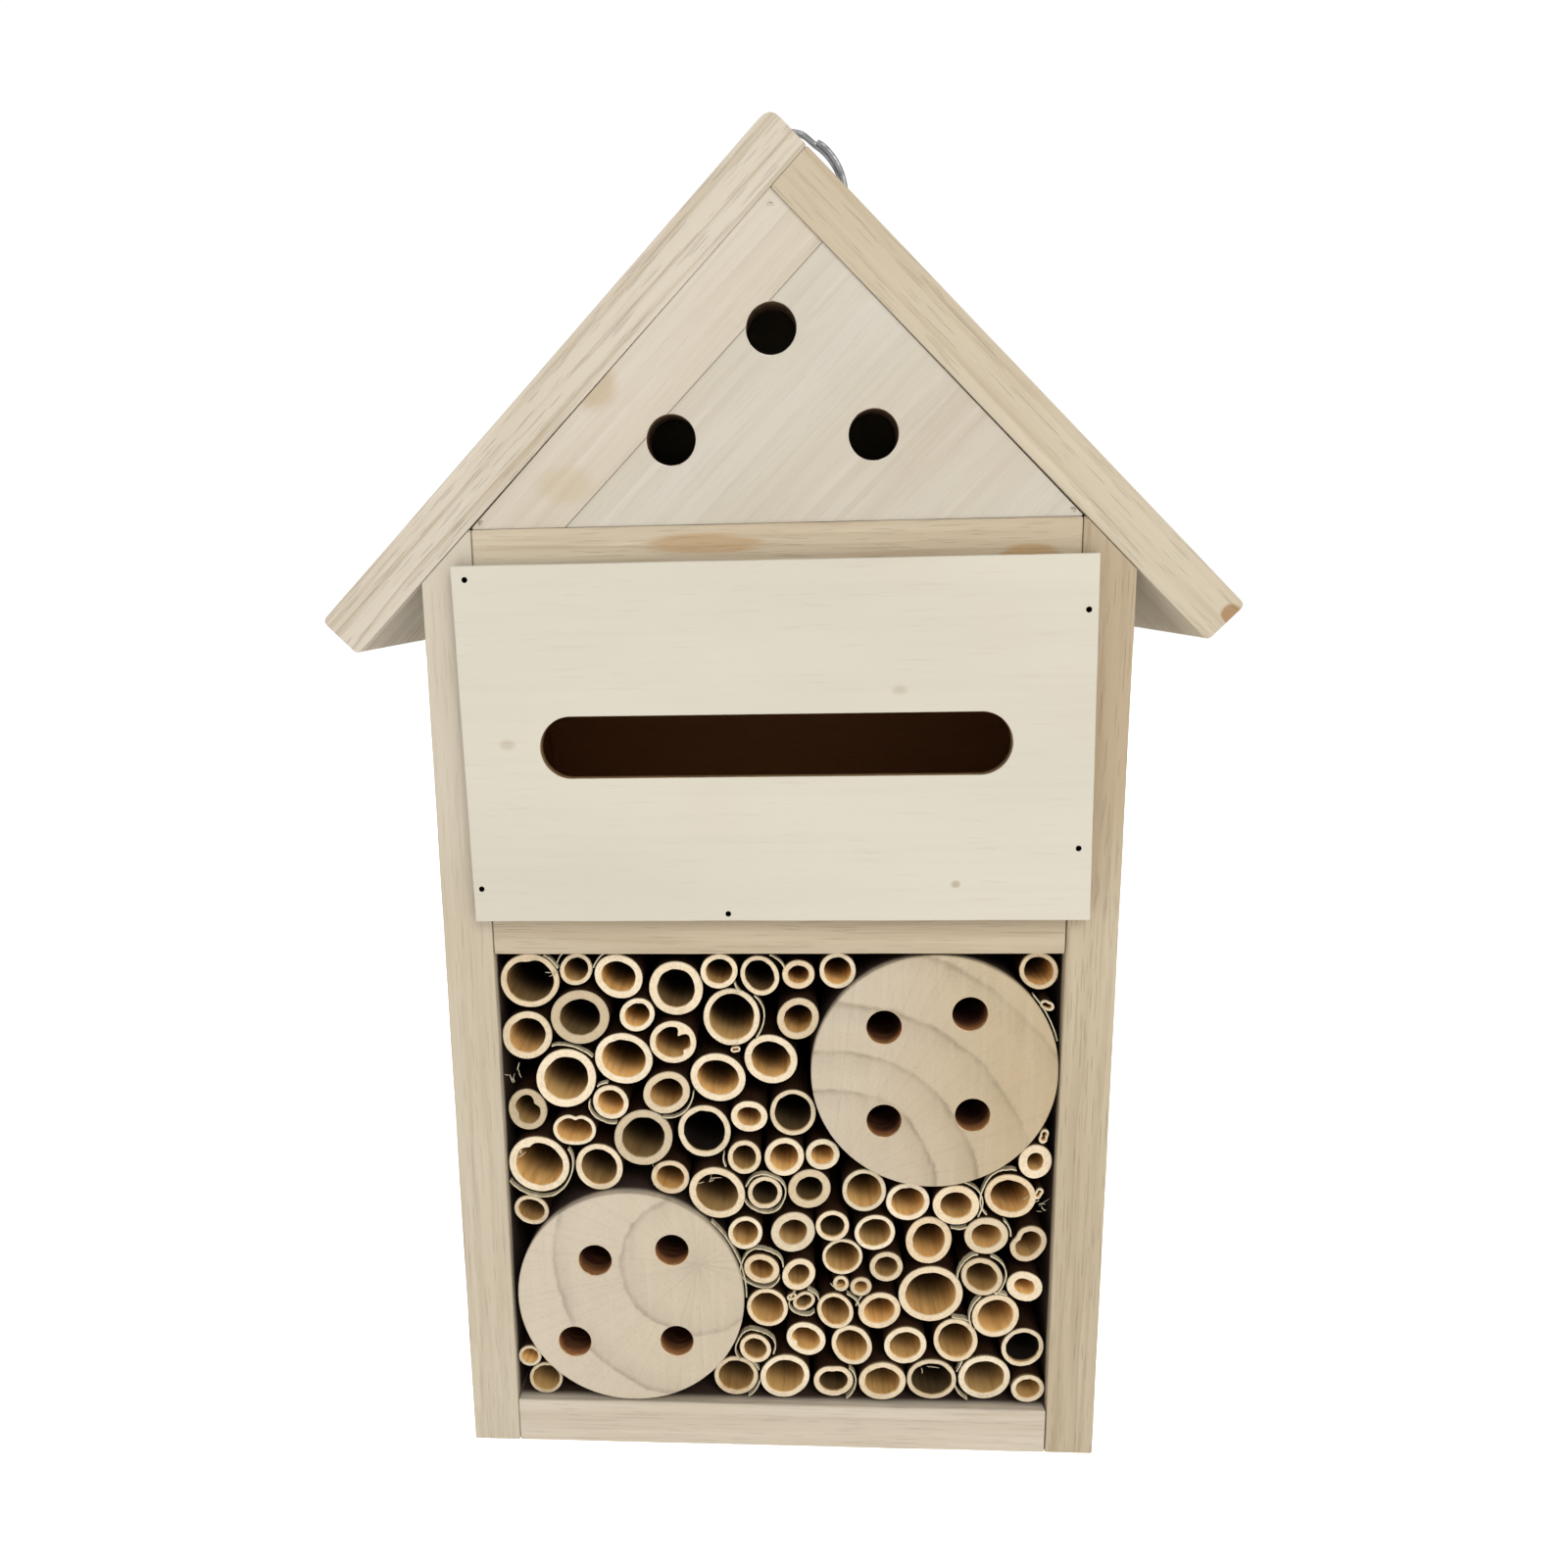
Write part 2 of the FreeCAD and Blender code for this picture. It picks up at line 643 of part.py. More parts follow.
def new_ring():
    """The ring that hangs in the eye, standing up behind the ridge."""
    start = value("eye_depth") - value("ring_thickness") / 2
    point = FreeCAD.Vector(value("eye_across"), start, value("ring_height"))
    thickness = "Dims.ring_thickness"
    rim = new_cylinder("ring_rim", "Dims.ring_outer / 2", thickness, point, AXIS_Y)
    inside = "Dims.ring_outer / 2 - Dims.ring_band"
    hole = new_cylinder("ring_hole", inside, thickness, point, AXIS_Y)
    ring = document.addObject("Part::Cut", "ring_cut")
    ring.Base = rim
    ring.Tool = hole
    finish(ring, "split_ring")


# ---------------------------------------------------------------- the house


def build_body():
    """Side, base, shelf, floor, roof, gable, slot and back boards, with their brads."""
    left = new_brads("left_side_brads", "side_brad_length", side_brad_seats(-1))
    right = new_brads("right_side_brads", "side_brad_length", side_brad_seats(1))
    slot = new_brads("slot_panel_brads", "panel_brad_length", slot_brad_seats())
    gable = new_brads("gable_panel_brads", "panel_brad_length", gable_brad_seats())
    roof = new_brads("roof_brads", "roof_brad_length", roof_brad_seats())
    ridge = new_brads("ridge_brads", "ridge_brad_length", ridge_brad_seats())
    back = new_brads("back_panel_brads", "panel_brad_length", back_brad_seats())
    eye = new_eye()
    across = joined("cross_board_pilots", [left, right, slot, back])
    left_all = joined("left_side_pilots", [left, slot, roof, back])
    right_all = joined("right_side_pilots", [right, slot, roof, back])
    left_roof = joined("left_roof_pilots", [roof, ridge, gable, eye])
    right_roof = joined("right_roof_pilots", [roof, ridge, gable])

    side = [("-half_width", "0"), ("-half_bay", "0"), ("-half_bay", "side_inner_top"),
            ("-half_width", "shoulder")]
    drilled(new_board("left_side", side, "board_depth", "front"), "left_side", left_all)
    side = [("half_bay", "0"), ("half_width", "0"), ("half_width", "shoulder"),
            ("half_bay", "side_inner_top")]
    drilled(new_board("right_side", side, "board_depth", "front"), "right_side", right_all)

    levels = {"base_board": ("0", "board"), "middle_shelf": ("bay_top", "shelf_top"),
              "attic_floor": ("floor_under", "floor_top")}
    for name, (low, high) in levels.items():
        level = [("-half_bay", low), ("half_bay", low), ("half_bay", high), ("-half_bay", high)]
        drilled(new_board(name, level, "board_depth", "front"), name, across)

    slope = [("-eave_under_across", "eave_under_height"), ("ridge_lap_across", "ridge_lap_height"),
             ("0", "ridge_top"), ("-roof_reach", "eave_height")]
    board = new_board("roof_board_left", slope, "body_depth", "front")
    drilled(board, "roof_board_left", left_roof)
    slope = [("0", "under_ridge"), ("eave_under_across", "eave_under_height"),
             ("roof_reach", "eave_height"), ("ridge_lap_across", "ridge_lap_height")]
    board = new_board("roof_board_right", slope, "body_depth", "front")
    drilled(board, "roof_board_right", right_roof)

    panel = [("-half_bay", "floor_top"), ("half_bay", "floor_top"), ("half_bay", "side_inner_top"),
             ("0", "under_ridge"), ("-half_bay", "side_inner_top")]
    board = new_board("gable_panel", panel, "gable_board", "gable_front")
    cut_through(board, "gable_holes", draw_gable_holes)
    drilled(board, "gable_panel", gable)

    panel = [("slot_foot_left", "slot_foot"), ("slot_foot_right", "slot_foot"),
             ("slot_head_right", "slot_head"), ("slot_head_left", "slot_head")]
    board = new_board("slot_panel", panel, "slot_ply", "slot_panel_front")
    cut_through(board, "entrance_slot", draw_entrance_slot)
    drilled(board, "slot_panel", slot)

    panel = [("-half_width", "0"), ("half_width", "0"), ("half_width", "shoulder"),
             ("0", "under_ridge"), ("-half_width", "shoulder")]
    drilled(new_board("back_panel", panel, "back_ply", "back_face"), "back_panel", back)


def draw_gable_holes(sketch):
    """Three round entrances: one over two."""
    draw_circle(sketch, "0", "gable_top_hole_height", "gable_radius")
    draw_circle(sketch, "-gable_low_hole_spread", "gable_low_hole_height", "gable_radius")
    draw_circle(sketch, "gable_low_hole_spread", "gable_low_hole_height", "gable_radius")


def draw_entrance_slot(sketch):
    """The long entrance slot of the middle chamber."""
    draw_slot(sketch, "slot_left_end", "slot_right_end", "slot_middle", "slot_radius")


def build_logs():
    """The two drilled log blocks."""
    upper_seat, lower_seat = log_seats()
    new_log("upper_log_block", "upper_log", upper_seat, UPPER_LOG_HOLES)
    new_log("lower_log_block", "lower_log", lower_seat, LOWER_LOG_HOLES)


def check_model():
    """Stop if any object failed or any sub-part has no sound shape."""
    for item in document.Objects:
        if "Invalid" in item.State or "Error" in item.State:
            raise RuntimeError(f"{item.Name} failed: {item.State}")
    for piece in nodes:
        if piece.Shape.isNull() or not piece.Shape.isValid():
            raise RuntimeError(f"{piece.Label} has no sound shape")


def write_parts():
    """Write each sub-part to its own file."""
    os.makedirs("parts", exist_ok=True)
    for piece in nodes:
        piece.Shape.exportStep(f"parts/{piece.Label}.step")
    solids = sum(len(piece.Shape.Solids) for piece in nodes)
    print(f"{len(nodes)} nodes, {solids} solids")


fill_sheet()
build_body()
build_logs()
build_reeds()
new_ring()
document.recompute()
check_model()
write_parts()
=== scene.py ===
"""Looks of a small insect hotel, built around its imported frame.

Metres throughout: +X to the right seen from the front, +Y to the rear, +Z up.
Every sub-assembly is a class that carves its own meshes and gives them their finishes.
"""

import logging
import math
import random
from dataclasses import dataclass, field
from enum import Enum
from typing import Callable, Sequence

import bmesh
import bpy
from mathutils import Matrix, Vector, noise


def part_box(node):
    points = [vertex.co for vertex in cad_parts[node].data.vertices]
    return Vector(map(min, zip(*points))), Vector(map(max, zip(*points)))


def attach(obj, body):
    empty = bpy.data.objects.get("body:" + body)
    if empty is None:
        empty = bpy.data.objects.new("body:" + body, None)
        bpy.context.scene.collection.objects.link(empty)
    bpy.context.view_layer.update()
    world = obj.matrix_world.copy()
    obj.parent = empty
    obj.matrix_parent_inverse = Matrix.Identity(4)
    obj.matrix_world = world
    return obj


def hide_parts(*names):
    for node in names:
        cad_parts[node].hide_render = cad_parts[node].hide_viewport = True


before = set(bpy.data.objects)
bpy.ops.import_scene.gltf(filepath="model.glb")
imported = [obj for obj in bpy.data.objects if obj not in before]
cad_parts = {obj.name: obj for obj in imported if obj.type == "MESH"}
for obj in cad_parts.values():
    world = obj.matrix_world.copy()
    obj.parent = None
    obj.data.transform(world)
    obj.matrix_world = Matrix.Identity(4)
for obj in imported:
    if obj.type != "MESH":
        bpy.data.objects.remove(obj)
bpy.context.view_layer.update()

LOG = logging.getLogger("insect_hotel")

Colour = tuple[float, float, float, float]
Triple = tuple[float, float, float]
Pair = tuple[float, float]
Socket = bpy.types.NodeSocket
Feed = float | Triple | Colour | Socket

MM = 0.001
HALF = math.sqrt(0.5)
FULL_TURN = 2 * math.pi
# How much brighter the studio shows a pale face that looks at the camera than its own colour.
STUDIO_GAIN = 2.0


def shown(red: int, green: int, blue: int) -> Colour:
    """Gives the surface colour that the studio light brings up to a screen colour.

    Args:
        red: Red on the screen, 0 to 255.
        green: Green on the screen, 0 to 255.
        blue: Blue on the screen, 0 to 255.

    Returns:
        The surface colour, as linear shares with full alpha.
    """
    parts = []
    for level in (red, green, blue):
        share = level / 255
        straight = share / 12.92 if share <= 0.04045 else ((share + 0.055) / 1.055) ** 2.4
        parts.append(straight / STUDIO_GAIN)
    return (parts[0], parts[1], parts[2], 1.0)


def darker(colour: Colour, share: float) -> Colour:
    """Gives a colour with its light cut to a share."""
    return (colour[0] * share, colour[1] * share, colour[2] * share, 1.0)


class NodeBench:
    """A material's node tree, with one short method for each kind of node."""

    def __init__(self, name: str) -> None:
        """Starts a material with a plain shader.

        Args:
            name: The material's name.
        """
        self.material = bpy.data.materials.new(name)
        self.material.use_nodes = True
        self.tree = self.material.node_tree
        self.shader = self.tree.nodes["Principled BSDF"]

    def feed(self, socket: Socket, value: Feed) -> None:
        """Links a socket to another, or sets its value.

        Args:
            socket: The input to feed.
            value: An output to link, or the value itself.
        """
        if isinstance(value, bpy.types.NodeSocket):
            self.tree.links.new(value, socket)
        else:
            socket.default_value = value

    def node(self, kind: str, inputs: dict[int | str, Feed], **settings: object) -> bpy.types.Node:
        """Adds a node.

        Args:
            kind: The node's type name.
            inputs: What goes into its sockets, by place or name.
            settings: The node's own options.

        Returns:
            The new node.
        """
        made = self.tree.nodes.new(kind)
        for option, choice in settings.items():
            setattr(made, option, choice)
        for place, value in inputs.items():
            self.feed(made.inputs[place], value)
        return made

    def maths(self, operation: str, first: Feed, second: Feed = 0.0, third: Feed = 0.0) -> Socket:
        """Does a sum on numbers.

        Args:
            operation: The sum's name.
            first: First number.
            second: Second number.
            third: Third number.

        Returns:
            The answer.
        """
        inputs = {0: first, 1: second, 2: third}
        return self.node("ShaderNodeMath", inputs, operation=operation).outputs[0]

    def arrow(self, operation: str, first: Feed, second: Feed = (0, 0, 0), third: Feed = (0, 0, 0)) -> Socket:
        """Does a sum on vectors.

        Args:
            operation: The sum's name.
            first: First vector.
            second: Second vector.
            third: Third vector.

        Returns:
            The answer, a number for a length or a dot product.
        """
        inputs = {0: first, 1: second, 2: third}
        made = self.node("ShaderNodeVectorMath", inputs, operation=operation)
        return made.outputs[1 if operation in ("LENGTH", "DOT_PRODUCT") else 0]

    def place(self) -> Socket:
        """Gives the point being shaded, in the piece's own metres."""
        return self.node("ShaderNodeTexCoord", {}).outputs["Object"]

    def attribute(self, name: str) -> Socket:
        """Gives a number stored on the mesh."""
        made = self.node("ShaderNodeAttribute", {}, attribute_name=name)
        return made.outputs["Fac"]

    def speckle(self, where: Socket, stretch: Triple, seed: float, detail: float = 2.0) -> Socket:
        """Makes cloudy noise.

        Args:
            where: The point.
            stretch: Waves per metre along each axis.
            seed: Moves the pattern.
            detail: How many finer layers there are.

        Returns:
            A number around a half.
        """
        moved = self.arrow("MULTIPLY_ADD", where, stretch, (seed, seed * 1.7, seed * 0.6))
        inputs = {"Vector": moved, "Scale": 1.0, "Detail": detail, "Roughness": 0.55}
        return self.node("ShaderNodeTexNoise", inputs).outputs[0]

    def between(self, value: Feed, low: Feed, high: Feed) -> Socket:
        """Turns a number into a soft step from 0 at low to 1 at high."""
        inputs = {"Value": value, "From Min": low, "From Max": high}
        return self.node("ShaderNodeMapRange", inputs, interpolation_type="SMOOTHSTEP").outputs[0]

    def mixed(self, share: Feed, first: Feed, second: Feed, mode: str = "MIX") -> Socket:
        """Mixes two colours.

        Args:
            share: How much of the second shows.
            first: First colour.
            second: Second colour.
            mode: How they mix.

        Returns:
            The mixed colour.
        """
        inputs = {0: share, 6: first, 7: second}
        return self.node("ShaderNodeMix", inputs, data_type="RGBA", blend_type=mode).outputs[2]

    def ramp(self, share: Socket, stops: Sequence[tuple[float, float]]) -> Socket:
        """Draws a number as a line through stops.

        Args:
            share: Where on the line, 0 to 1.
            stops: Place and height of each stop.

        Returns:
            The height.
        """
        made = self.node("ShaderNodeValToRGB", {0: share})
        elements = made.color_ramp.elements
        for index, (place, height) in enumerate(stops):
            stop = elements[index] if index < 2 else elements.new(place)
            stop.position = place
            stop.color = (height, height, height, 1.0)
        return made.outputs[0]

    def total(self, *terms: tuple[Feed, float], base: float = 0.0) -> Socket:
        """Adds up numbers, each with its own weight.

        Args:
            terms: Each number and its weight.
            base: What the sum starts from.

        Returns:
            The sum.
        """
        answer: Feed = base
        for value, weight in terms:
            answer = self.maths("MULTIPLY_ADD", value, weight, answer)
        return answer

    def finish(self, colour: Feed, rough: Feed, height: Socket, relief: float) -> bpy.types.Material:
        """Wires the shader up.

        Args:
            colour: Surface colour.
            rough: Roughness.
            height: Height of the surface, about 0 to 1.
            relief: How deep the full height is, in metres.

        Returns:
            The material.
        """
        bump = self.node("ShaderNodeBump", {"Strength": 0.8, "Distance": relief, "Height": height})
        self.feed(self.shader.inputs["Base Color"], colour)
        self.feed(self.shader.inputs["Roughness"], rough)
        self.feed(self.shader.inputs["Normal"], bump.outputs[0])
        self.shader.inputs["Specular IOR Level"].default_value = 0.25
        return self.material


class Grain(Enum):
    """Which way a board's grain runs, seen from the front."""

    ACROSS = (1.0, 0.0, 0.0)
    UPRIGHT = (0.0, 0.0, 1.0)
    RISING = (HALF, 0.0, HALF)
    FALLING = (HALF, 0.0, -HALF)


@dataclass(frozen=True)
class Stain:
    """A soft mark in the wood.

    Attributes:
        middle: Its middle.
        reach: How far it goes along X, Y and Z.
        colour: Its colour.
        strength: How much of it shows.
        blur: How soft its edge is, as a share of its reach.
    """

    middle: Triple
    reach: Triple
    colour: Colour
    strength: float = 0.6
    blur: float = 0.42

    def over(self, bench: NodeBench, where: Socket, ragged: Socket, colour: Feed) -> Socket:
        """Lays the stain over a colour.

        Args:
            bench: The material's nodes.
            where: The point.
            ragged: A number that makes its edge uneven.
            colour: The colour below.

        Returns:
            The stained colour.
        """
        offset = bench.arrow("DIVIDE", bench.arrow("SUBTRACT", where, self.middle), self.reach)
        far_off = bench.total((bench.arrow("LENGTH", offset), 1.0), (ragged, 0.6))
        edge = bench.between(far_off, 1.3 + self.blur, 1.3 - self.blur)
        mark = bench.maths("MULTIPLY", edge, self.strength)
        return bench.mixed(mark, colour, self.colour)


@dataclass(frozen=True)
class PaintedRoomShade:
    """Painted shade on whatever lies inside a box-shaped room, open at its front.

    Attributes:
        low: The room's low corner.
        high: The room's high corner.
        fade: How far in the painted shade is full.
        colour: Its colour.
        strength: How much of it shows.
    """

    low: Triple
    high: Triple
    fade: float
    colour: Colour
    strength: float

    def over(self, bench: NodeBench, where: Socket, colour: Feed) -> Socket:
        """Lays the painted shade over a colour.

        Args:
            bench: The material's nodes.
            where: The point.
            colour: The colour below.

        Returns:
            The colour with the painted shade on it.
        """
        parts = bench.node("ShaderNodeSeparateXYZ", {0: where}).outputs
        share: Feed = bench.between(parts[1], self.low[1], self.low[1] + self.fade)
        for part, low, high in zip(parts, self.low, self.high):
            above = bench.maths("GREATER_THAN", part, low)
            below = bench.maths("LESS_THAN", part, high)
            share = bench.maths("MULTIPLY", share, bench.maths("MULTIPLY", above, below))
        return bench.mixed(bench.maths("MULTIPLY", share, self.strength), colour, self.colour)


# Painted shade deep in the reed bay and in the attic behind the slot: colours darken away from each room's open
# front.
BAY_PAINTED_SHADE = PaintedRoomShade(
    (-56.1 * MM, -38.5 * MM, 9.9 * MM), (56.1 * MM, 37.2 * MM, 109.6 * MM), 2.4 * MM, shown(56, 28, 16), 0.95
)
ATTIC_PAINTED_SHADE = PaintedRoomShade(
    (-56.1 * MM, -39.9 * MM, 119.4 * MM), (56.1 * MM, 37.2 * MM, 182.1 * MM), 3 * MM, shown(212, 142, 76), 0.9
)


@dataclass(frozen=True)
class GlueLine:
    """The joint between two strips of one board.

    Attributes:
        across: Where it lies across the grain.
        beyond: Pale colour of the strip on the far side.
        colour: Colour of the line.
        width: Half the width of the line.
    """

    across: float
    beyond: Colour
    colour: Colour
    width: float = 0.2 * MM


@dataclass(frozen=True)
class BoardWood:
    """Sawn, unfinished pale wood with growth rings, fibres and pores.

    Attributes:
        name: The material's name.
        grain: Which way the grain runs.
        pale: Colour of the early wood.
        deep: Colour of the late wood and fibres.
        heart: Where the rings' middle lies, across the grain and in depth.
        seed: Moves every pattern.
        ring_gap: Distance between rings.
        ring_show: How strongly the rings show.
        fibre_show: How strongly the fibres show.
        pore_show: How strongly the pores show.
        ring_edge: How crisp each ring's late side is.
        stains: Marks in the wood.
        glue: A joint between two strips, if there is one.
    """

    name: str
    grain: Grain
    pale: Colour
    deep: Colour
    heart: Pair
    seed: float
    ring_gap: float = 3.4 * MM
    ring_show: float = 0.35
    fibre_show: float = 0.3
    pore_show: float = 0.14
    ring_edge: float = 3.0
    stains: tuple[Stain, ...] = ()
    glue: GlueLine | None = None

    def make(self) -> bpy.types.Material:
        """Makes the material.

        Returns:
            The board's material.
        """
        bench = NodeBench(self.name)
        where = bench.place()
        run = self.grain.value
        along = bench.arrow("DOT_PRODUCT", where, run)
        across = bench.arrow("DOT_PRODUCT", where, (-run[2], 0.0, run[0]))
        depth = bench.arrow("DOT_PRODUCT", where, (0.0, 1.0, 0.0))
        lying = bench.node("ShaderNodeCombineXYZ", {0: along, 1: across, 2: depth}).outputs[0]
        pale: Feed = self.pale
        if self.glue:
            near, far = self.glue.across - 0.1 * MM, self.glue.across + 0.1 * MM
            beyond = bench.between(across, near, far)
            lying = bench.arrow("MULTIPLY_ADD", beyond, (0.31, 0.013, 0.17), lying)
            pale = bench.mixed(beyond, self.pale, self.glue.beyond)
        wander = bench.speckle(lying, (5.0, 30.0, 30.0), self.seed, 3.0)
        from_heart = bench.arrow(
            "MULTIPLY_ADD", lying, (0.0, 1.0, 1.0), (0.0, -self.heart[0], -self.heart[1])
        )
        radius = bench.total((bench.arrow("LENGTH", from_heart), 1.0), (wander, 9 * MM))
        phase = bench.maths("FRACT", bench.maths("DIVIDE", radius, self.ring_gap))
        patchy = bench.between(bench.speckle(lying, (9.0, 60.0, 60.0), self.seed + 4), 0.35, 0.65)
        ring = bench.maths("MULTIPLY", bench.maths("POWER", phase, self.ring_edge), patchy)
        fibre = bench.between(bench.speckle(lying, (22.0, 620.0, 620.0), self.seed + 9, 3.0), 0.44, 0.74)
        light_fibre = bench.between(bench.speckle(lying, (16.0, 420.0, 420.0), self.seed + 2), 0.55, 0.75)
        pores = bench.between(bench.speckle(lying, (110.0, 2600.0, 2600.0), self.seed + 6, 1.0), 0.6, 0.72)
        cloud = bench.between(bench.speckle(lying, (8.0, 34.0, 34.0), self.seed + 12), 0.3, 0.72)
        colour = bench.mixed(bench.maths("MULTIPLY", cloud, 0.38), pale, self.deep)
        colour = bench.mixed(bench.maths("MULTIPLY", ring, self.ring_show), colour, darker(self.deep, 0.82))
        colour = bench.mixed(
            bench.maths("MULTIPLY", fibre, self.fibre_show), colour, darker(self.deep, 0.86)
        )
        colour = bench.mixed(bench.maths("MULTIPLY", pores, self.pore_show), colour, darker(self.deep, 0.5))
        colour = bench.mixed(bench.maths("MULTIPLY", light_fibre, 0.35), colour, darker(self.pale, 1.16))
        for stain in self.stains:
            colour = stain.over(bench, where, fibre if stain.blur < 0.3 else wander, colour)
        # Painted shade on whatever part of the board lies inside the bay or the attic.
        for painted_shade in (BAY_PAINTED_SHADE, ATTIC_PAINTED_SHADE):
            colour = painted_shade.over(bench, where, colour)
        height = bench.total(
            (fibre, -0.45), (pores, -3 * self.pore_show), (ring, -0.35), (light_fibre, 0.3), (cloud, 0.8)
        )
        if self.glue:
            off_line = bench.maths("ABSOLUTE", bench.maths("SUBTRACT", across, self.glue.across))
            line = bench.between(off_line, self.glue.width, 0.0)
            line = bench.maths("MULTIPLY", line, bench.total((patchy, 0.5), base=0.5))
            colour = bench.mixed(bench.maths("MULTIPLY", line, 0.45), colour, self.glue.colour)
            height = bench.total((height, 1.0), (line, -0.8))
        rough = bench.total((fibre, 0.1), (cloud, 0.06), base=0.7)
        return bench.finish(colour, rough, height, 0.16 * MM)


@dataclass(frozen=True)
class SmoothPly:
    """Thin sanded plywood, with its plies showing at the edges.

    Attributes:
        name: The material's name.
        face: Colour of the face veneer.
        core: Colour of the core ply.
        front: Where the sheet's front lies along Y.
        thickness: The sheet's thickness.
        cloudy: How strongly the face varies.
        specks: Small dark specks in the face.
        seed: Moves every pattern.
    """

    name: str
    face: Colour
    core: Colour
    front: float
    thickness: float
    cloudy: float
    specks: tuple[Stain, ...] = ()
    seed: float = 3.0

    def make(self) -> bpy.types.Material:
        """Makes the material.

        Returns:
            The sheet's material.
        """
        bench = NodeBench(self.name)
        where = bench.place()
        depth = bench.arrow("DOT_PRODUCT", where, (0.0, 1.0 / self.thickness, 0.0))
        ply = bench.maths("SUBTRACT", depth, self.front / self.thickness)
        into_core = bench.between(ply, 0.3, 0.34)
        out_of_core = bench.between(ply, 0.7, 0.66)
        core = bench.maths("MULTIPLY", into_core, out_of_core)
        fibre = bench.between(bench.speckle(where, (18.0, 500.0, 520.0), self.seed, 3.0), 0.42, 0.75)
        cloud = bench.between(bench.speckle(where, (9.0, 20.0, 26.0), self.seed + 5, 3.0), 0.3, 0.7)
        flakes = bench.between(bench.speckle(where, (90.0, 900.0, 1500.0), self.seed + 8, 1.0), 0.62, 0.72)
        blush = bench.between(bench.speckle(where, (14.0, 14.0, 17.0), self.seed + 15), 0.5, 0.72)
        tint = (self.face[0] * 0.97, self.face[1] * 0.9, self.face[2] * 0.88, 1.0)
        colour = bench.mixed(bench.maths("MULTIPLY", cloud, self.cloudy), self.face, darker(self.face, 0.8))
        colour = bench.mixed(bench.maths("MULTIPLY", blush, 0.5), colour, tint)
        colour = bench.mixed(bench.maths("MULTIPLY", fibre, 0.09), colour, darker(self.face, 0.74))
        colour = bench.mixed(bench.maths("MULTIPLY", flakes, 0.07), colour, darker(self.core, 0.7))
        colour = bench.mixed(core, colour, self.core)
        for speck in self.specks:
            colour = speck.over(bench, where, fibre, colour)
        # Painted shade on whatever part of the sheet lies inside the bay or the attic.
        for painted_shade in (BAY_PAINTED_SHADE, ATTIC_PAINTED_SHADE):
            colour = painted_shade.over(bench, where, colour)
        height = bench.total((fibre, -0.3), (flakes, -0.2), (cloud, 0.5), (core, -0.6))
        rough = bench.total((cloud, 0.08), (fibre, 0.08), base=0.6)
        return bench.finish(colour, rough, height, 0.09 * MM)


@dataclass(frozen=True)
class LogEnd:
    """Sawn end grain of a turned log.

    Attributes:
        name: The material's name.
        pale: Colour of the early wood.
        warm: Colour of the heart side.
        pith: Where the rings' middle lies, in X and Z.
        rings: Distance of each late-wood ring from the pith.
        seed: Moves every pattern.
        warm_side: Where the warm colour starts and is full, along X.
        span: Distance from the pith that the rings are drawn over.
    """

    name: str
    pale: Colour
    warm: Colour
    pith: Pair
    rings: tuple[float, ...]
    seed: float
    warm_side: Pair
    span: float = 70 * MM

    def make(self) -> bpy.types.Material:
        """Makes the material.

        Returns:
            The log's material.
        """
        bench = NodeBench(self.name)
        where = bench.place()
        flat = bench.arrow("MULTIPLY_ADD", where, (1.0, 0.0, 1.0), (-self.pith[0], 0.0, -self.pith[1]))
        wander = bench.speckle(where, (55.0, 4.0, 55.0), self.seed, 3.0)
        ragged = bench.speckle(where, (900.0, 25.0, 900.0), self.seed + 3, 2.0)
        radius = bench.total((bench.arrow("LENGTH", flat), 1.0), (wander, 4.4 * MM), (ragged, 0.9 * MM))
        share = bench.maths("DIVIDE", bench.maths("SUBTRACT", radius, 2.6 * MM), self.span)
        stops = [(0.0, 0.0), (1.0, 0.0)]
        for ring in self.rings:
            edge = ring / self.span
            stops += [(edge - 0.075, 0.0), (edge - 0.018, 0.3), (edge - 0.003, 1.0), (edge + 0.006, 0.0)]
        ring = bench.ramp(share, stops)
        pointing = bench.arrow("NORMALIZE", flat)
        ray = bench.between(bench.speckle(pointing, (46.0, 1.0, 46.0), self.seed + 7, 2.0), 0.46, 0.72)
        patchy = bench.between(bench.speckle(where, (110.0, 9.0, 110.0), self.seed + 5), 0.3, 0.6)
        ring = bench.maths("MULTIPLY", ring, bench.total((patchy, 0.6), base=0.4))
        saw = bench.between(bench.speckle(where, (520.0, 20.0, 34.0), self.seed + 11, 2.0), 0.42, 0.7)
        pores = bench.between(bench.speckle(where, (1900.0, 40.0, 1900.0), self.seed + 1, 1.0), 0.58, 0.74)
        cloud = bench.between(bench.speckle(where, (42.0, 8.0, 42.0), self.seed + 13), 0.3, 0.7)
        side = bench.between(bench.arrow("DOT_PRODUCT", where, (1.0, 0.0, 0.0)), *self.warm_side)
        colour = bench.mixed(side, self.pale, self.warm)
        colour = bench.mixed(bench.maths("MULTIPLY", cloud, 0.3), colour, darker(self.warm, 0.95))
        colour = bench.mixed(bench.maths("MULTIPLY", ring, 0.72), colour, darker(self.warm, 0.5))
        colour = bench.mixed(bench.maths("MULTIPLY", ray, 0.14), colour, darker(self.warm, 0.7))
        colour = bench.mixed(bench.maths("MULTIPLY", saw, 0.2), colour, darker(self.pale, 1.12))
        colour = bench.mixed(bench.maths("MULTIPLY", pores, 0.08), colour, darker(self.warm, 0.5))
        # Painted shade on the log's sides inside the bay.
        colour = BAY_PAINTED_SHADE.over(bench, where, colour)
        height = bench.total((ring, -0.5), (saw, 0.6), (pores, -0.25), (ray, -0.25), (cloud, 0.6))
        rough = bench.total((saw, 0.08), base=0.74)
        return bench.finish(colour, rough, height, 0.18 * MM)


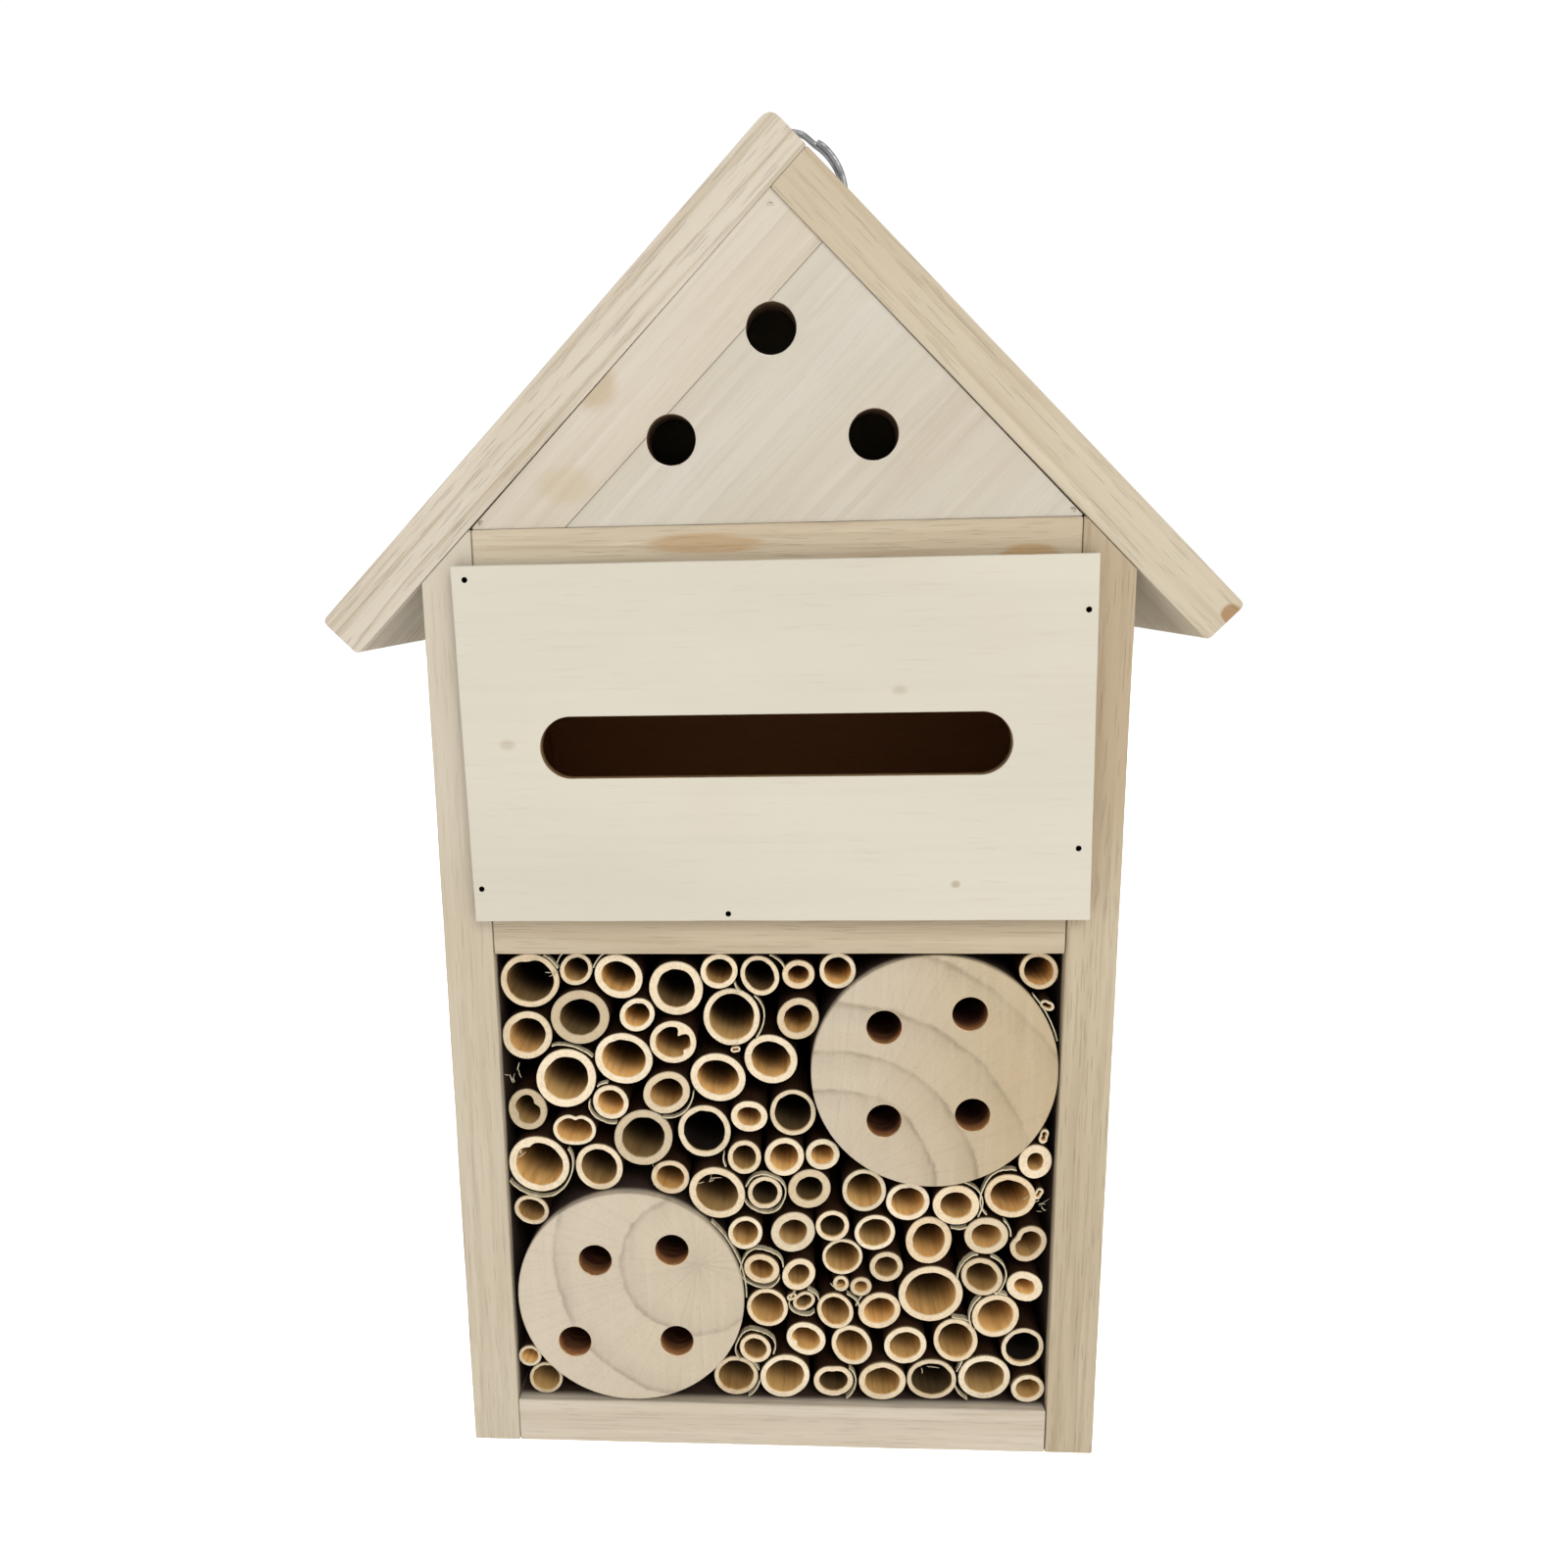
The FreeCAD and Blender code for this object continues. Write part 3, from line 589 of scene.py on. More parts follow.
@dataclass(frozen=True)
class BoreWood:
    """Inside of a drilled hole, with the drill's marks and painted shade that deepens inwards.

    Attributes:
        name: The material's name.
        lit: Colour near the mouth.
        deep: Colour further in, a painted shade.
        rim: Colour of the torn fibres at the mouth.
        mouth: Where the mouth lies along Y.
        reach: How far in the deep colour is full.
        chip: How far in the torn fibres go.
    """

    name: str
    lit: Colour
    deep: Colour
    rim: Colour
    mouth: float
    reach: float = 5 * MM
    chip: float = 0.5 * MM

    def make(self) -> bpy.types.Material:
        """Makes the material.

        Returns:
            The bore's material.
        """
        bench = NodeBench(self.name)
        where = bench.place()
        depth = bench.arrow("DOT_PRODUCT", where, (0.0, 1.0, 0.0))
        inward = bench.between(depth, self.mouth, self.mouth + self.reach)
        chatter = bench.between(bench.speckle(where, (160.0, 1500.0, 160.0), 2.0, 2.0), 0.4, 0.7)
        burn = bench.between(bench.speckle(where, (300.0, 90.0, 300.0), 7.0, 2.0), 0.45, 0.75)
        # Painted shade: lit near the mouth, darker further in.
        colour = bench.mixed(inward, self.lit, self.deep)
        colour = bench.mixed(bench.maths("MULTIPLY", burn, 0.5), colour, darker(self.deep, 0.7))
        colour = bench.mixed(bench.maths("MULTIPLY", chatter, 0.2), colour, darker(self.lit, 1.1))
        torn = bench.speckle(where, (760.0, 30.0, 760.0), 11.0, 2.0)
        share = bench.total((depth, 1 / self.chip), (torn, -2.4), base=1.2 - self.mouth / self.chip)
        colour = bench.mixed(bench.between(share, 0.9, 0.3), colour, self.rim)
        rough = bench.total((chatter, 0.1), base=0.72)
        return bench.finish(colour, rough, chatter, 0.15 * MM)


class ReedFace(Enum):
    """The three kinds of surface on a cut reed, in the order of its material slots."""

    CUT = 0
    BORE = 1
    SKIN = 2


@dataclass(frozen=True)
class ReedFinish:
    """Dry reed: the cut ring, the bore or the skin, toned by numbers on the mesh.

    Attributes:
        name: The material's name.
        kind: Which surface it is for.
        pale: Colour of a pale reed.
        brown: Colour of a brown reed.
        shade: Colour of a grey or dark reed, also the painted shade deep in a bore.
        deep: Where the painted shade in a bore starts and is full, along Y.
    """

    name: str
    kind: ReedFace
    pale: Colour
    brown: Colour
    shade: Colour
    deep: Pair = (-36.5 * MM, -19 * MM)

    def make(self) -> bpy.types.Material:
        """Makes the material.

        Returns:
            The reed's material.
        """
        bench = NodeBench(self.name)
        where = bench.place()
        base = bench.mixed(bench.attribute("reed_tone"), self.pale, self.brown)
        wall = bench.attribute("reed_wall_and_skin_shade")
        if self.kind is ReedFace.CUT:
            base = bench.mixed(bench.attribute("reed_shade"), base, self.shade)
            middle = bench.maths("ABSOLUTE", bench.maths("SUBTRACT", wall, 0.5))
            soft = bench.between(middle, 0.42, 0.1)
            dots = bench.between(bench.speckle(where, (2300.0, 60.0, 2300.0), 4.0, 1.0), 0.5, 0.72)
            cloud = bench.between(bench.speckle(where, (320.0, 30.0, 320.0), 8.0, 2.0), 0.35, 0.7)
            colour = bench.mixed(bench.maths("MULTIPLY", soft, 0.16), base, self.brown)
            colour = bench.mixed(bench.maths("MULTIPLY", dots, 0.24), colour, darker(self.brown, 0.72))
            colour = bench.mixed(bench.maths("MULTIPLY", cloud, 0.16), colour, darker(self.brown, 0.9))
            height = bench.total((dots, -0.6), (cloud, 0.7), (soft, -0.4))
            rough = bench.total((cloud, 0.1), base=0.68)
            return bench.finish(colour, rough, height, 0.14 * MM)
        streak = bench.between(bench.speckle(where, (1300.0, 28.0, 1300.0), 5.0, 3.0), 0.4, 0.72)
        patch = bench.between(bench.speckle(where, (260.0, 70.0, 260.0), 3.0, 2.0), 0.42, 0.7)
        colour = bench.mixed(bench.maths("MULTIPLY", streak, 0.5), base, darker(self.brown, 0.62))
        colour = bench.mixed(bench.maths("MULTIPLY", patch, 0.35), colour, darker(self.pale, 1.05))
        colour = bench.mixed(bench.attribute("reed_shade"), colour, self.shade)
        height = bench.total((streak, -0.7), (patch, 0.5))
        if self.kind is ReedFace.SKIN:
            # Painted shade: the skin behind the cut face darkens to the bay's shade colour.
            colour = bench.mixed(bench.maths("MULTIPLY", wall, 0.96), colour, BAY_PAINTED_SHADE.colour)
        else:
            # Painted shade: the bore darkens with depth along Y.
            inward = bench.between(bench.arrow("DOT_PRODUCT", where, (0.0, 1.0, 0.0)), *self.deep)
            colour = bench.mixed(bench.maths("MULTIPLY", inward, 0.86), colour, self.shade)
        glossy = 0.42 if self.kind is ReedFace.SKIN else 0.66
        rough = bench.total((patch, 0.14), base=glossy)
        return bench.finish(colour, rough, height, 0.12 * MM)


@dataclass(frozen=True)
class Steel:
    """Bright plated or dull dark steel with fine scratches.

    Attributes:
        name: The material's name.
        bright: Colour of the clean metal.
        dull: Colour of the tarnish.
        rough: Roughness of the clean metal.
        tarnish: How much of the tarnish shows.
        edge: Tint of what it mirrors where it turns away.
    """

    name: str
    bright: Colour
    dull: Colour
    rough: float
    tarnish: float
    edge: Colour = (0.3, 0.3, 0.3, 1.0)

    def make(self) -> bpy.types.Material:
        """Makes the material.

        Returns:
            The metal's material.
        """
        bench = NodeBench(self.name)
        where = bench.place()
        spots = bench.between(bench.speckle(where, (420.0, 420.0, 420.0), 6.0, 3.0), 0.42, 0.72)
        scratch = bench.between(bench.speckle(where, (240.0, 3600.0, 900.0), 2.0, 2.0), 0.5, 0.72)
        colour = bench.mixed(bench.maths("MULTIPLY", spots, self.tarnish), self.bright, self.dull)
        colour = bench.mixed(bench.maths("MULTIPLY", scratch, 0.25), colour, darker(self.dull, 0.8))
        rough = bench.total((spots, 0.2), (scratch, 0.12), base=self.rough)
        height = bench.total((spots, 0.5), (scratch, -0.5))
        self_made = bench.finish(colour, rough, height, 0.02 * MM)
        bench.shader.inputs["Metallic"].default_value = 1.0
        bench.shader.inputs["Specular Tint"].default_value = self.edge
        return self_made


def new_piece(name: str, mesh: bmesh.types.BMesh, sharp: float = 20.0) -> bpy.types.Object:
    """Turns a bmesh into an object with soft faces and sharp edges.

    Args:
        name: The piece's name.
        mesh: Its faces, which are freed.
        sharp: Edges bent by more degrees than this stay crisp.

    Returns:
        The new object, linked to the scene.
    """
    bmesh.ops.recalc_face_normals(mesh, faces=mesh.faces)
    data = bpy.data.meshes.new(name)
    mesh.to_mesh(data)
    mesh.free()
    data.shade_smooth()
    data.set_sharp_from_angle(angle=math.radians(sharp))
    piece = bpy.data.objects.new(name, data)
    bpy.context.scene.collection.objects.link(piece)
    return piece


def dressed(piece: bpy.types.Object, *finishes: bpy.types.Material) -> bpy.types.Object:
    """Gives a piece its materials, in the order of its material slots.

    Args:
        piece: The piece.
        finishes: Its materials.

    Returns:
        The same piece.
    """
    slots = piece.data.materials
    for place, finish in enumerate(finishes):
        if place < len(slots):
            slots[place] = finish
        else:
            slots.append(finish)
    return piece


def settled(piece: bpy.types.Object, body: str, slot: str, *nodes: str) -> bpy.types.Object:
    """Hangs a piece on the frame's body that carries it and hides the frame's nodes that it replaces.

    Args:
        piece: The piece.
        body: The frame's body that carries it.
        slot: Not used.
        nodes: The frame's nodes that it replaces.

    Returns:
        The same piece.
    """
    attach(piece, body)
    if nodes:
        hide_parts(*nodes)
    return piece


@dataclass(frozen=True)
class Hole:
    """A round or slotted hole in a board or block.

    Attributes:
        middle: Its middle, in X and Z.
        radius: Its radius, or half a slot's height.
        straight: Half of a slot's straight run.
        depth: Depth of a blind hole, or nothing for one right through.
        ragged: How torn its mouth is.
        segments: How many points go round it.
    """

    middle: Pair
    radius: float
    straight: float = 0.0
    depth: float | None = None
    ragged: float = 0.0
    segments: int = 48

    def points(self, extra: float, torn: float) -> list[Pair]:
        """Walks round the hole.

        Args:
            extra: How much wider than its bore it is here.
            torn: Share of the tearing that shows here.

        Returns:
            The points, in X and Z.
        """
        found = []
        for index in range(self.segments):
            angle = FULL_TURN * (index + 0.5) / self.segments
            rip = noise.noise(Vector((self.middle[0] * 900 + 5 * math.cos(angle), 5 * math.sin(angle), 3.3)))
            low = 0.35 + 0.65 * max(0.0, -math.sin(angle))
            radius = self.radius + extra + torn * self.ragged * low * max(0.0, rip + 0.25)
            shift = math.copysign(self.straight, math.cos(angle))
            found.append(
                (self.middle[0] + shift + radius * math.cos(angle), self.middle[1] + radius * math.sin(angle))
            )
        return found


@dataclass
class Carving:
    """A board or block carved from an outline in X and Z, its thickness along Y.

    Attributes:
        name: The piece's name.
        corners: The outline's corners, anticlockwise seen from the front.
        front: Where its front face lies along Y.
        rear: Where its rear face lies along Y.
        holes: Its holes.
        ease: How far its edges are rubbed down.
        corner: How round its corners are.
        wobble: How far its sides stray inwards.
        spacing: Distance between the points of its outline.
        uneven: Distance between its rings along Y.
        mouth: How far the edges of its holes are rubbed down.
        worn: Corners that are rounder than the rest, by number.
        seed: Moves the straying.
    """

    name: str
    corners: Sequence[Pair]
    front: float
    rear: float
    holes: tuple[Hole, ...] = ()
    ease: float = 0.35 * MM
    corner: float = 0.5 * MM
    wobble: float = 0.14 * MM
    spacing: float = 3 * MM
    uneven: float = 11 * MM
    mouth: float = 0.14 * MM
    worn: dict[int, float] = field(default_factory=dict)
    seed: float = 0.0

    def eased_outline(self) -> list[Vector]:
        """Rounds the corners and divides the sides.

        Returns:
            The outline's points.
        """
        count = len(self.corners)
        found: list[Vector] = []
        if count > 12:
            return [Vector(corner) for corner in self.corners]
        for index in range(count):
            here = Vector(self.corners[index])
            before = Vector(self.corners[index - 1])
            after = Vector(self.corners[(index + 1) % count])
            back, ahead = (before - here).normalized(), (after - here).normalized()
            half_angle = back.angle(ahead) / 2
            corner = self.worn.get(index, self.corner)
            cut = min(corner / math.tan(half_angle), (after - here).length / 3)
            first, last = here + back * cut, here + ahead * cut
            for share in (0.0, 0.25, 0.5, 0.75, 1.0):
                found.append(first.lerp(here, share).lerp(here.lerp(last, share), share))
            stop = after + (here - after).normalized() * min(self.corner, (after - here).length / 3)
            pieces = max(1, round((stop - last).length / self.spacing))
            found += [last.lerp(stop, step / pieces) for step in range(1, pieces)]
        return found

    def inward(self, points: list[Vector]) -> list[Vector]:
        """Finds which way is in at each point of the outline.

        Args:
            points: The outline.

        Returns:
            One direction for each point, longer at a sharp corner.
        """
        count = len(points)
        found = []
        for index in range(count):
            ahead = (points[(index + 1) % count] - points[index]).normalized()
            behind = (points[index] - points[index - 1]).normalized()
            sideways = Vector((-ahead.y - behind.y, ahead.x + behind.x)).normalized()
            lean = max(0.6, sideways.dot(Vector((-ahead.y, ahead.x))))
            found.append(sideways / lean)
        return found

    def levels(self, rear: float, through: bool, ease: float) -> list[Pair]:
        """Lists the rings from front to rear, with how far each edge is rubbed down there.

        Args:
            rear: Where the last ring lies.
            through: Whether the last edge is rubbed down too.
            ease: How far the edges are rubbed down.

        Returns:
            Place along Y and inset of each ring.
        """
        found = [(self.front, ease), (self.front + 0.3 * ease, 0.3 * ease), (self.front + ease, 0.0)]
        steps = max(1, round((rear - self.front) / self.uneven))
        span = rear - self.front - 2 * ease
        found += [(self.front + ease + span * step / steps, 0.0) for step in range(1, steps)]
        if through:
            found += [(rear - ease, 0.0), (rear - 0.3 * ease, 0.3 * ease)]
        found.append((rear, ease if through else 0.0))
        return found

    def stray(self, point: Vector, depth: float) -> float:
        """Says how far the side strays inwards.

        Args:
            point: A point of the outline.
            depth: Where it lies along Y.

        Returns:
            The distance inwards.
        """
        place = Vector((point.x * 70, depth * 40, point.y * 70 + self.seed))
        fine = Vector((point.x * 600, depth * 60, point.y * 600 + self.seed))
        return self.wobble * (0.4 + 0.4 * noise.noise(place) + 0.2 * noise.noise(fine))

    def skin(self, mesh: bmesh.types.BMesh, rings: list[list[bmesh.types.BMVert]], material: int) -> None:
        """Joins rings of points with faces.

        Args:
            mesh: The mesh.
            rings: The rings, all of one length.
            material: The faces' material slot.
        """
        for near, far in zip(rings, rings[1:]):
            for index in range(len(near)):
                after = (index + 1) % len(near)
                face = mesh.faces.new((near[index], far[index], far[after], near[after]))
                face.material_index = material

    def cap(self, mesh: bmesh.types.BMesh, loops: list[list[bmesh.types.BMVert]]) -> None:
        """Fills the flat between an outline and its holes.

        Args:
            mesh: The mesh.
            loops: The outline's ring and each hole's ring.
        """
        edges = []
        for loop in loops:
            for index in range(len(loop)):
                pair = (loop[index - 1], loop[index])
                edges.append(mesh.edges.get(pair) or mesh.edges.new(pair))
        bmesh.ops.triangle_fill(mesh, use_beauty=True, edges=edges)

    def build(self) -> bpy.types.Object:
        """Carves the piece.

        Returns:
            The new piece, its bores in the second material slot.
        """
        mesh = bmesh.new()
        outline = self.eased_outline()
        inward = self.inward(outline)
        rings = []
        for depth, inset in self.levels(self.rear, True, self.ease):
            ring = []
            for point, way in zip(outline, inward):
                moved = point + way * (inset + self.stray(point, depth))
                ring.append(mesh.verts.new((moved.x, depth, moved.y)))
            rings.append(ring)
        self.skin(mesh, rings, 0)
        fronts, rears = [rings[0]], [rings[-1]]
        for hole in self.holes:
            through = hole.depth is None
            end = self.rear if through else self.front + hole.depth
            rings = []
            for number, (depth, inset) in enumerate(self.levels(end, through, self.mouth)):
                torn = 1.0 if number == 0 else 0.6 if number == 1 else 0.0
                ring = [mesh.verts.new((x, depth, z)) for x, z in hole.points(inset, torn)]
                rings.append(ring)
            self.skin(mesh, rings[:2], 0)
            self.skin(mesh, rings[1:], 1)
            fronts.append(rings[0])
            if through:
                rears.append(rings[-1])
            else:
                tip = mesh.verts.new((hole.middle[0], end + hole.radius / 2, hole.middle[1]))
                last = rings[-1]
                for index in range(len(last)):
                    mesh.faces.new((last[index - 1], last[index], tip)).material_index = 1
        self.cap(mesh, fronts)
        self.cap(mesh, rears)
        return new_piece(self.name, mesh)


def box_corners(node: str) -> list[Pair]:
    """Gives a node's front outline as a rectangle, anticlockwise from its lower left."""
    low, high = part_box(node)
    return [(low.x, low.z), (high.x, low.z), (high.x, high.z), (low.x, high.z)]


def faces_y(node: str) -> Pair:
    """Gives where a node's front and rear lie along Y."""
    low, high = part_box(node)
    return low.y, high.y


@dataclass
class Walls:
    """The two sides, base, shelf and attic floor.

    Attributes:
        slope: How much lower a side's outer edge is than its inner one, per metre across.
        ease: How far the edges are rubbed down.
        orange: Colour of the resin stains in the attic floor.
    """

    slope: float = 1.0
    ease: float = 0.35 * MM
    orange: Colour = shown(190, 156, 110)

    def finishes(self) -> dict[str, BoardWood]:
        """Lists each board's wood.

        Returns:
            The wood by node name.
        """
        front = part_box("attic_floor")[0].y
        marks = (
            Stain((46.5 * MM, front, 184.6 * MM), (4.6 * MM, 5 * MM, 1.7 * MM), self.orange, 0.85, 0.2),
            Stain((-12 * MM, front, 188.1 * MM), (9 * MM, 6 * MM, 1.4 * MM), self.orange, 0.7, 0.28),
        )
        return {
            "left_side": BoardWood(
                "left_side_wood", Grain.UPRIGHT, shown(214, 201, 178), shown(190, 169, 136),
                (-40 * MM, 55 * MM), 1.3, 2.6 * MM, 0.26, 0.3, 0.14, 3.0,
                (Stain((-61 * MM, front, 168 * MM), (14 * MM, 70 * MM, 44 * MM), shown(224, 214, 196), 0.6),),
            ),
            "right_side": BoardWood(
                "right_side_wood", Grain.UPRIGHT, shown(211, 197, 170), shown(174, 150, 114),
                (20 * MM, 70 * MM), 5.1, 2.8 * MM, 0.4, 0.4, 0.2, 3.0,
                (Stain((61 * MM, front, 170 * MM), (14 * MM, 70 * MM, 44 * MM), shown(188, 166, 134), 0.7),),
            ),
            "base_board": BoardWood(
                "base_wood", Grain.ACROSS, shown(224, 212, 193), shown(193, 173, 142),
                (-30 * MM, 30 * MM), 8.4, 3 * MM, 0.26, 0.3,
            ),
            "middle_shelf": BoardWood(
                "shelf_wood", Grain.ACROSS, shown(209, 193, 166), shown(182, 160, 126),
                (80 * MM, 40 * MM), 11.9, 3 * MM, 0.3, 0.34,
            ),
            "attic_floor": BoardWood(
                "attic_wood", Grain.ACROSS, shown(220, 206, 181), shown(188, 163, 124),
                (150 * MM, 10 * MM), 14.2, 2.4 * MM, 0.34, 0.34, 0.14, 3.0, marks,
            ),
        }

    def build(self) -> list[bpy.types.Object]:
        """Carves and dresses the five boards.

        Returns:
            The boards.
        """
        made = []
        for number, (node, wood) in enumerate(self.finishes().items()):
            corners = box_corners(node)
            low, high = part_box(node)
            drop = (high.x - low.x) * self.slope
            if node == "left_side":
                corners[3] = (low.x, high.z - drop)
            if node == "right_side":
                corners[2] = (high.x, high.z - drop)
            board = Carving(f"carved_{node}", corners, *faces_y(node), ease=self.ease, seed=3.1 * number)
            made.append(settled(dressed(board.build(), wood.make()), "root", "pale_board", node))
        return made


@dataclass
class Roof:
    """The two roof boards, the left one lapping over the ridge.

    Attributes:
        thickness: Thickness of a board.
        worn_eave: How round the corners at the eaves are.
        worn_ridge: How round the ridge is.
    """

    thickness: float = 9 * MM
    worn_eave: float = 1.2 * MM
    worn_ridge: float = 2.6 * MM

    def build(self) -> list[bpy.types.Object]:
        """Carves and dresses both boards.

        Returns:
            The boards.
        """
        low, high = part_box("roof_board_left")
        step = self.thickness * HALF
        eave = (low.x, low.z + step)
        left = [eave, (low.x + step, low.z), (high.x, high.z - step), (high.x - step, high.z)]
        low_right, high_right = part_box("roof_board_right")
        right = [
            (low_right.x, high_right.z - step),
            (high_right.x - step, low_right.z),
            (high_right.x, low_right.z + step),
            (low_right.x + step, high_right.z),
        ]
        tip = Stain(
            (83.2 * MM, low.y, 173.4 * MM), (1.6 * MM, 6 * MM, 1.6 * MM), shown(164, 122, 70), 0.8, 0.25
        )
        left_wood = BoardWood(
            "left_roof_wood", Grain.RISING, shown(221, 210, 191), shown(190, 168, 134),
            (130 * MM, 20 * MM), 21.0, 2.1 * MM, 0.66, 0.46, 0.2, 9.0,
        )
        right_wood = BoardWood(
            "right_roof_wood", Grain.FALLING, shown(214, 201, 177), shown(188, 165, 128),
            (230 * MM, 60 * MM), 25.0, 2.6 * MM, 0.36, 0.36, 0.16, 4.0, (tip,),
        )
        made = []
        for node, corners, wood, worn in (
            ("roof_board_left", left, left_wood, {0: self.worn_eave, 1: self.worn_eave, 3: self.worn_ridge}),
            ("roof_board_right", right, right_wood, {1: self.worn_eave, 2: self.worn_eave}),
        ):
            board = Carving(
                f"carved_{node}", corners, *faces_y(node), ease=0.16 * MM, wobble=0.06 * MM, seed=wood.seed,
                worn=worn,
            )
            made.append(settled(dressed(board.build(), wood.make()), "root", "pale_board", node))
        return made


@dataclass
class Gable:
    """The gable panel, glued up from two strips and drilled three times.

    Attributes:
        hole_radius: Radius of its holes.
        top_hole: Height of the top hole.
        low_holes: Where the two low holes lie, in X either side and Z.
        glue_across: Where the joint lies across the grain.
        lap: How far its slopes are let into the roof boards.
    """

    hole_radius: float = 4.5 * MM
    top_hole: float = 225 * MM
    low_holes: Pair = (18.3 * MM, 206.5 * MM)
    glue_across: float = 162.5 * MM
    lap: float = 0.12 * MM

    def build(self) -> list[bpy.types.Object]:
        """Carves and dresses the panel.

        Returns:
            The panel.
        """
        low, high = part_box("gable_panel")
        middle = (low.x + high.x) / 2
        corners = [(low.x - self.lap, low.z), (high.x + self.lap, low.z), (middle, high.z + self.lap)]
        places = [(0.0, self.top_hole), (-self.low_holes[0], self.low_holes[1]), self.low_holes]
        holes = tuple(Hole(place, self.hole_radius, ragged=0.5 * MM) for place in places)
        front, rear = faces_y("gable_panel")
        patch = Stain((-32 * MM, front, 216 * MM), (3.6 * MM, 9 * MM, 3.6 * MM), shown(190, 164, 120), 0.5)
        low_patch = Stain((-38 * MM, front, 199 * MM), (5 * MM, 9 * MM, 3 * MM), shown(200, 178, 140), 0.35)
        chip = Stain(
            (-51.9 * MM, front, 196.6 * MM), (0.5 * MM, 2 * MM, 0.4 * MM), shown(60, 40, 22), 0.9, 0.2
        )
        wood = BoardWood(
            "gable_wood", Grain.RISING, shown(216, 208, 193), shown(196, 176, 146), (20 * MM, 18 * MM),
            31.0, 5.5 * MM, 0.2, 0.14, 0.05, 3.0, (patch, low_patch, chip),
            GlueLine(self.glue_across, shown(222, 211, 194), shown(122, 84, 48)),
        )
        bore = BoreWood(
            "gable_bore_wood", shown(120, 90, 56), shown(80, 54, 32), shown(232, 224, 206), front
        )
        board = Carving(
            "carved_gable_panel", corners, front, rear, holes, ease=0.05 * MM, corner=0.3 * MM, wobble=0.0
        )
        made = dressed(board.build(), wood.make(), bore.make())
        return [settled(made, "root", "pale_board", "gable_panel")]


@dataclass
class PlySheets:
    """The slotted front panel and the plain back panel.

    Attributes:
        lean: How far the front panel's head stands left of its foot.
        slot_height: Height of the slot.
        slot_length: Length of the slot.
    """

    lean: float = 1.1 * MM
    slot_height: float = 11.8 * MM
    slot_length: float = 88.5 * MM

    def build(self) -> list[bpy.types.Object]:
        """Carves and dresses both sheets.

        Returns:
            The sheets.
        """
        low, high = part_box("slot_panel")
        corners = [(low.x + self.lean, low.z), (high.x, low.z), (high.x - self.lean, high.z), (low.x, high.z)]
        radius = self.slot_height / 2
        slot = Hole((0.0, (low.z + high.z) / 2), radius, self.slot_length / 2 - radius, segments=56)
        grey = shown(168, 150, 118)
        specks = (
            Stain((34.3 * MM, low.y, 124.1 * MM), (0.7 * MM, 2 * MM, 0.6 * MM), grey, 0.6, 0.6),
            Stain((23.3 * MM, low.y, 161.2 * MM), (1.2 * MM, 2 * MM, 0.7 * MM), grey, 0.35, 0.8),
            Stain((-50.5 * MM, low.y, 151.7 * MM), (1.0 * MM, 2 * MM, 0.7 * MM), grey, 0.35, 0.8),
        )
        face = SmoothPly(
            "slot_ply", shown(224, 217, 199), shown(178, 148, 104), low.y, high.y - low.y, 0.3, specks
        )
        bore = BoreWood(
            "slot_edge_wood", shown(176, 146, 104), shown(120, 88, 54), shown(226, 214, 188), low.y,
            3 * MM, 0.3 * MM,
        )
        panel = Carving(
            "carved_slot_panel", corners, low.y, high.y, (slot,), ease=0.25 * MM, corner=0.4 * MM
        )
        made = [dressed(panel.build(), face.make(), bore.make())]
        settled(made[0], "root", "smooth_ply", "slot_panel")
        low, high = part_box("back_panel")
        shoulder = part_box("left_side")[1].z
        width = (high.x - low.x) / 2
        back = SmoothPly(
            "back_ply", shown(206, 184, 148), shown(168, 138, 98), low.y, high.y - low.y, 0.7, seed=9.0
        )
        outline = self.back_outline(low, high, width, shoulder)
        sheet = Carving("carved_back_panel", outline, low.y, high.y, ease=0.25 * MM, corner=0.4 * MM)
        made.append(settled(dressed(sheet.build(), back.make()), "root", "back_ply", "back_panel"))
        return made

    def back_outline(self, low: Vector, high: Vector, width: float, shoulder: float) -> list[Pair]:
        """Gives the back panel's outline: a rectangle, or one with a pointed head.

        Args:
            low: The node's lowest corner.
            high: The node's highest corner.
            width: Half its width.
            shoulder: Height of the sides.

        Returns:
            The corners, anticlockwise from the front.
        """
        middle = (low.x + high.x) / 2
        corners = [(low.x, low.z), (high.x, low.z)]
        if high.z > shoulder:
            corners += [(high.x, high.z - width), (middle, high.z), (low.x, high.z - width)]
        else:
            corners += [(high.x, high.z), (low.x, high.z)]
        return corners


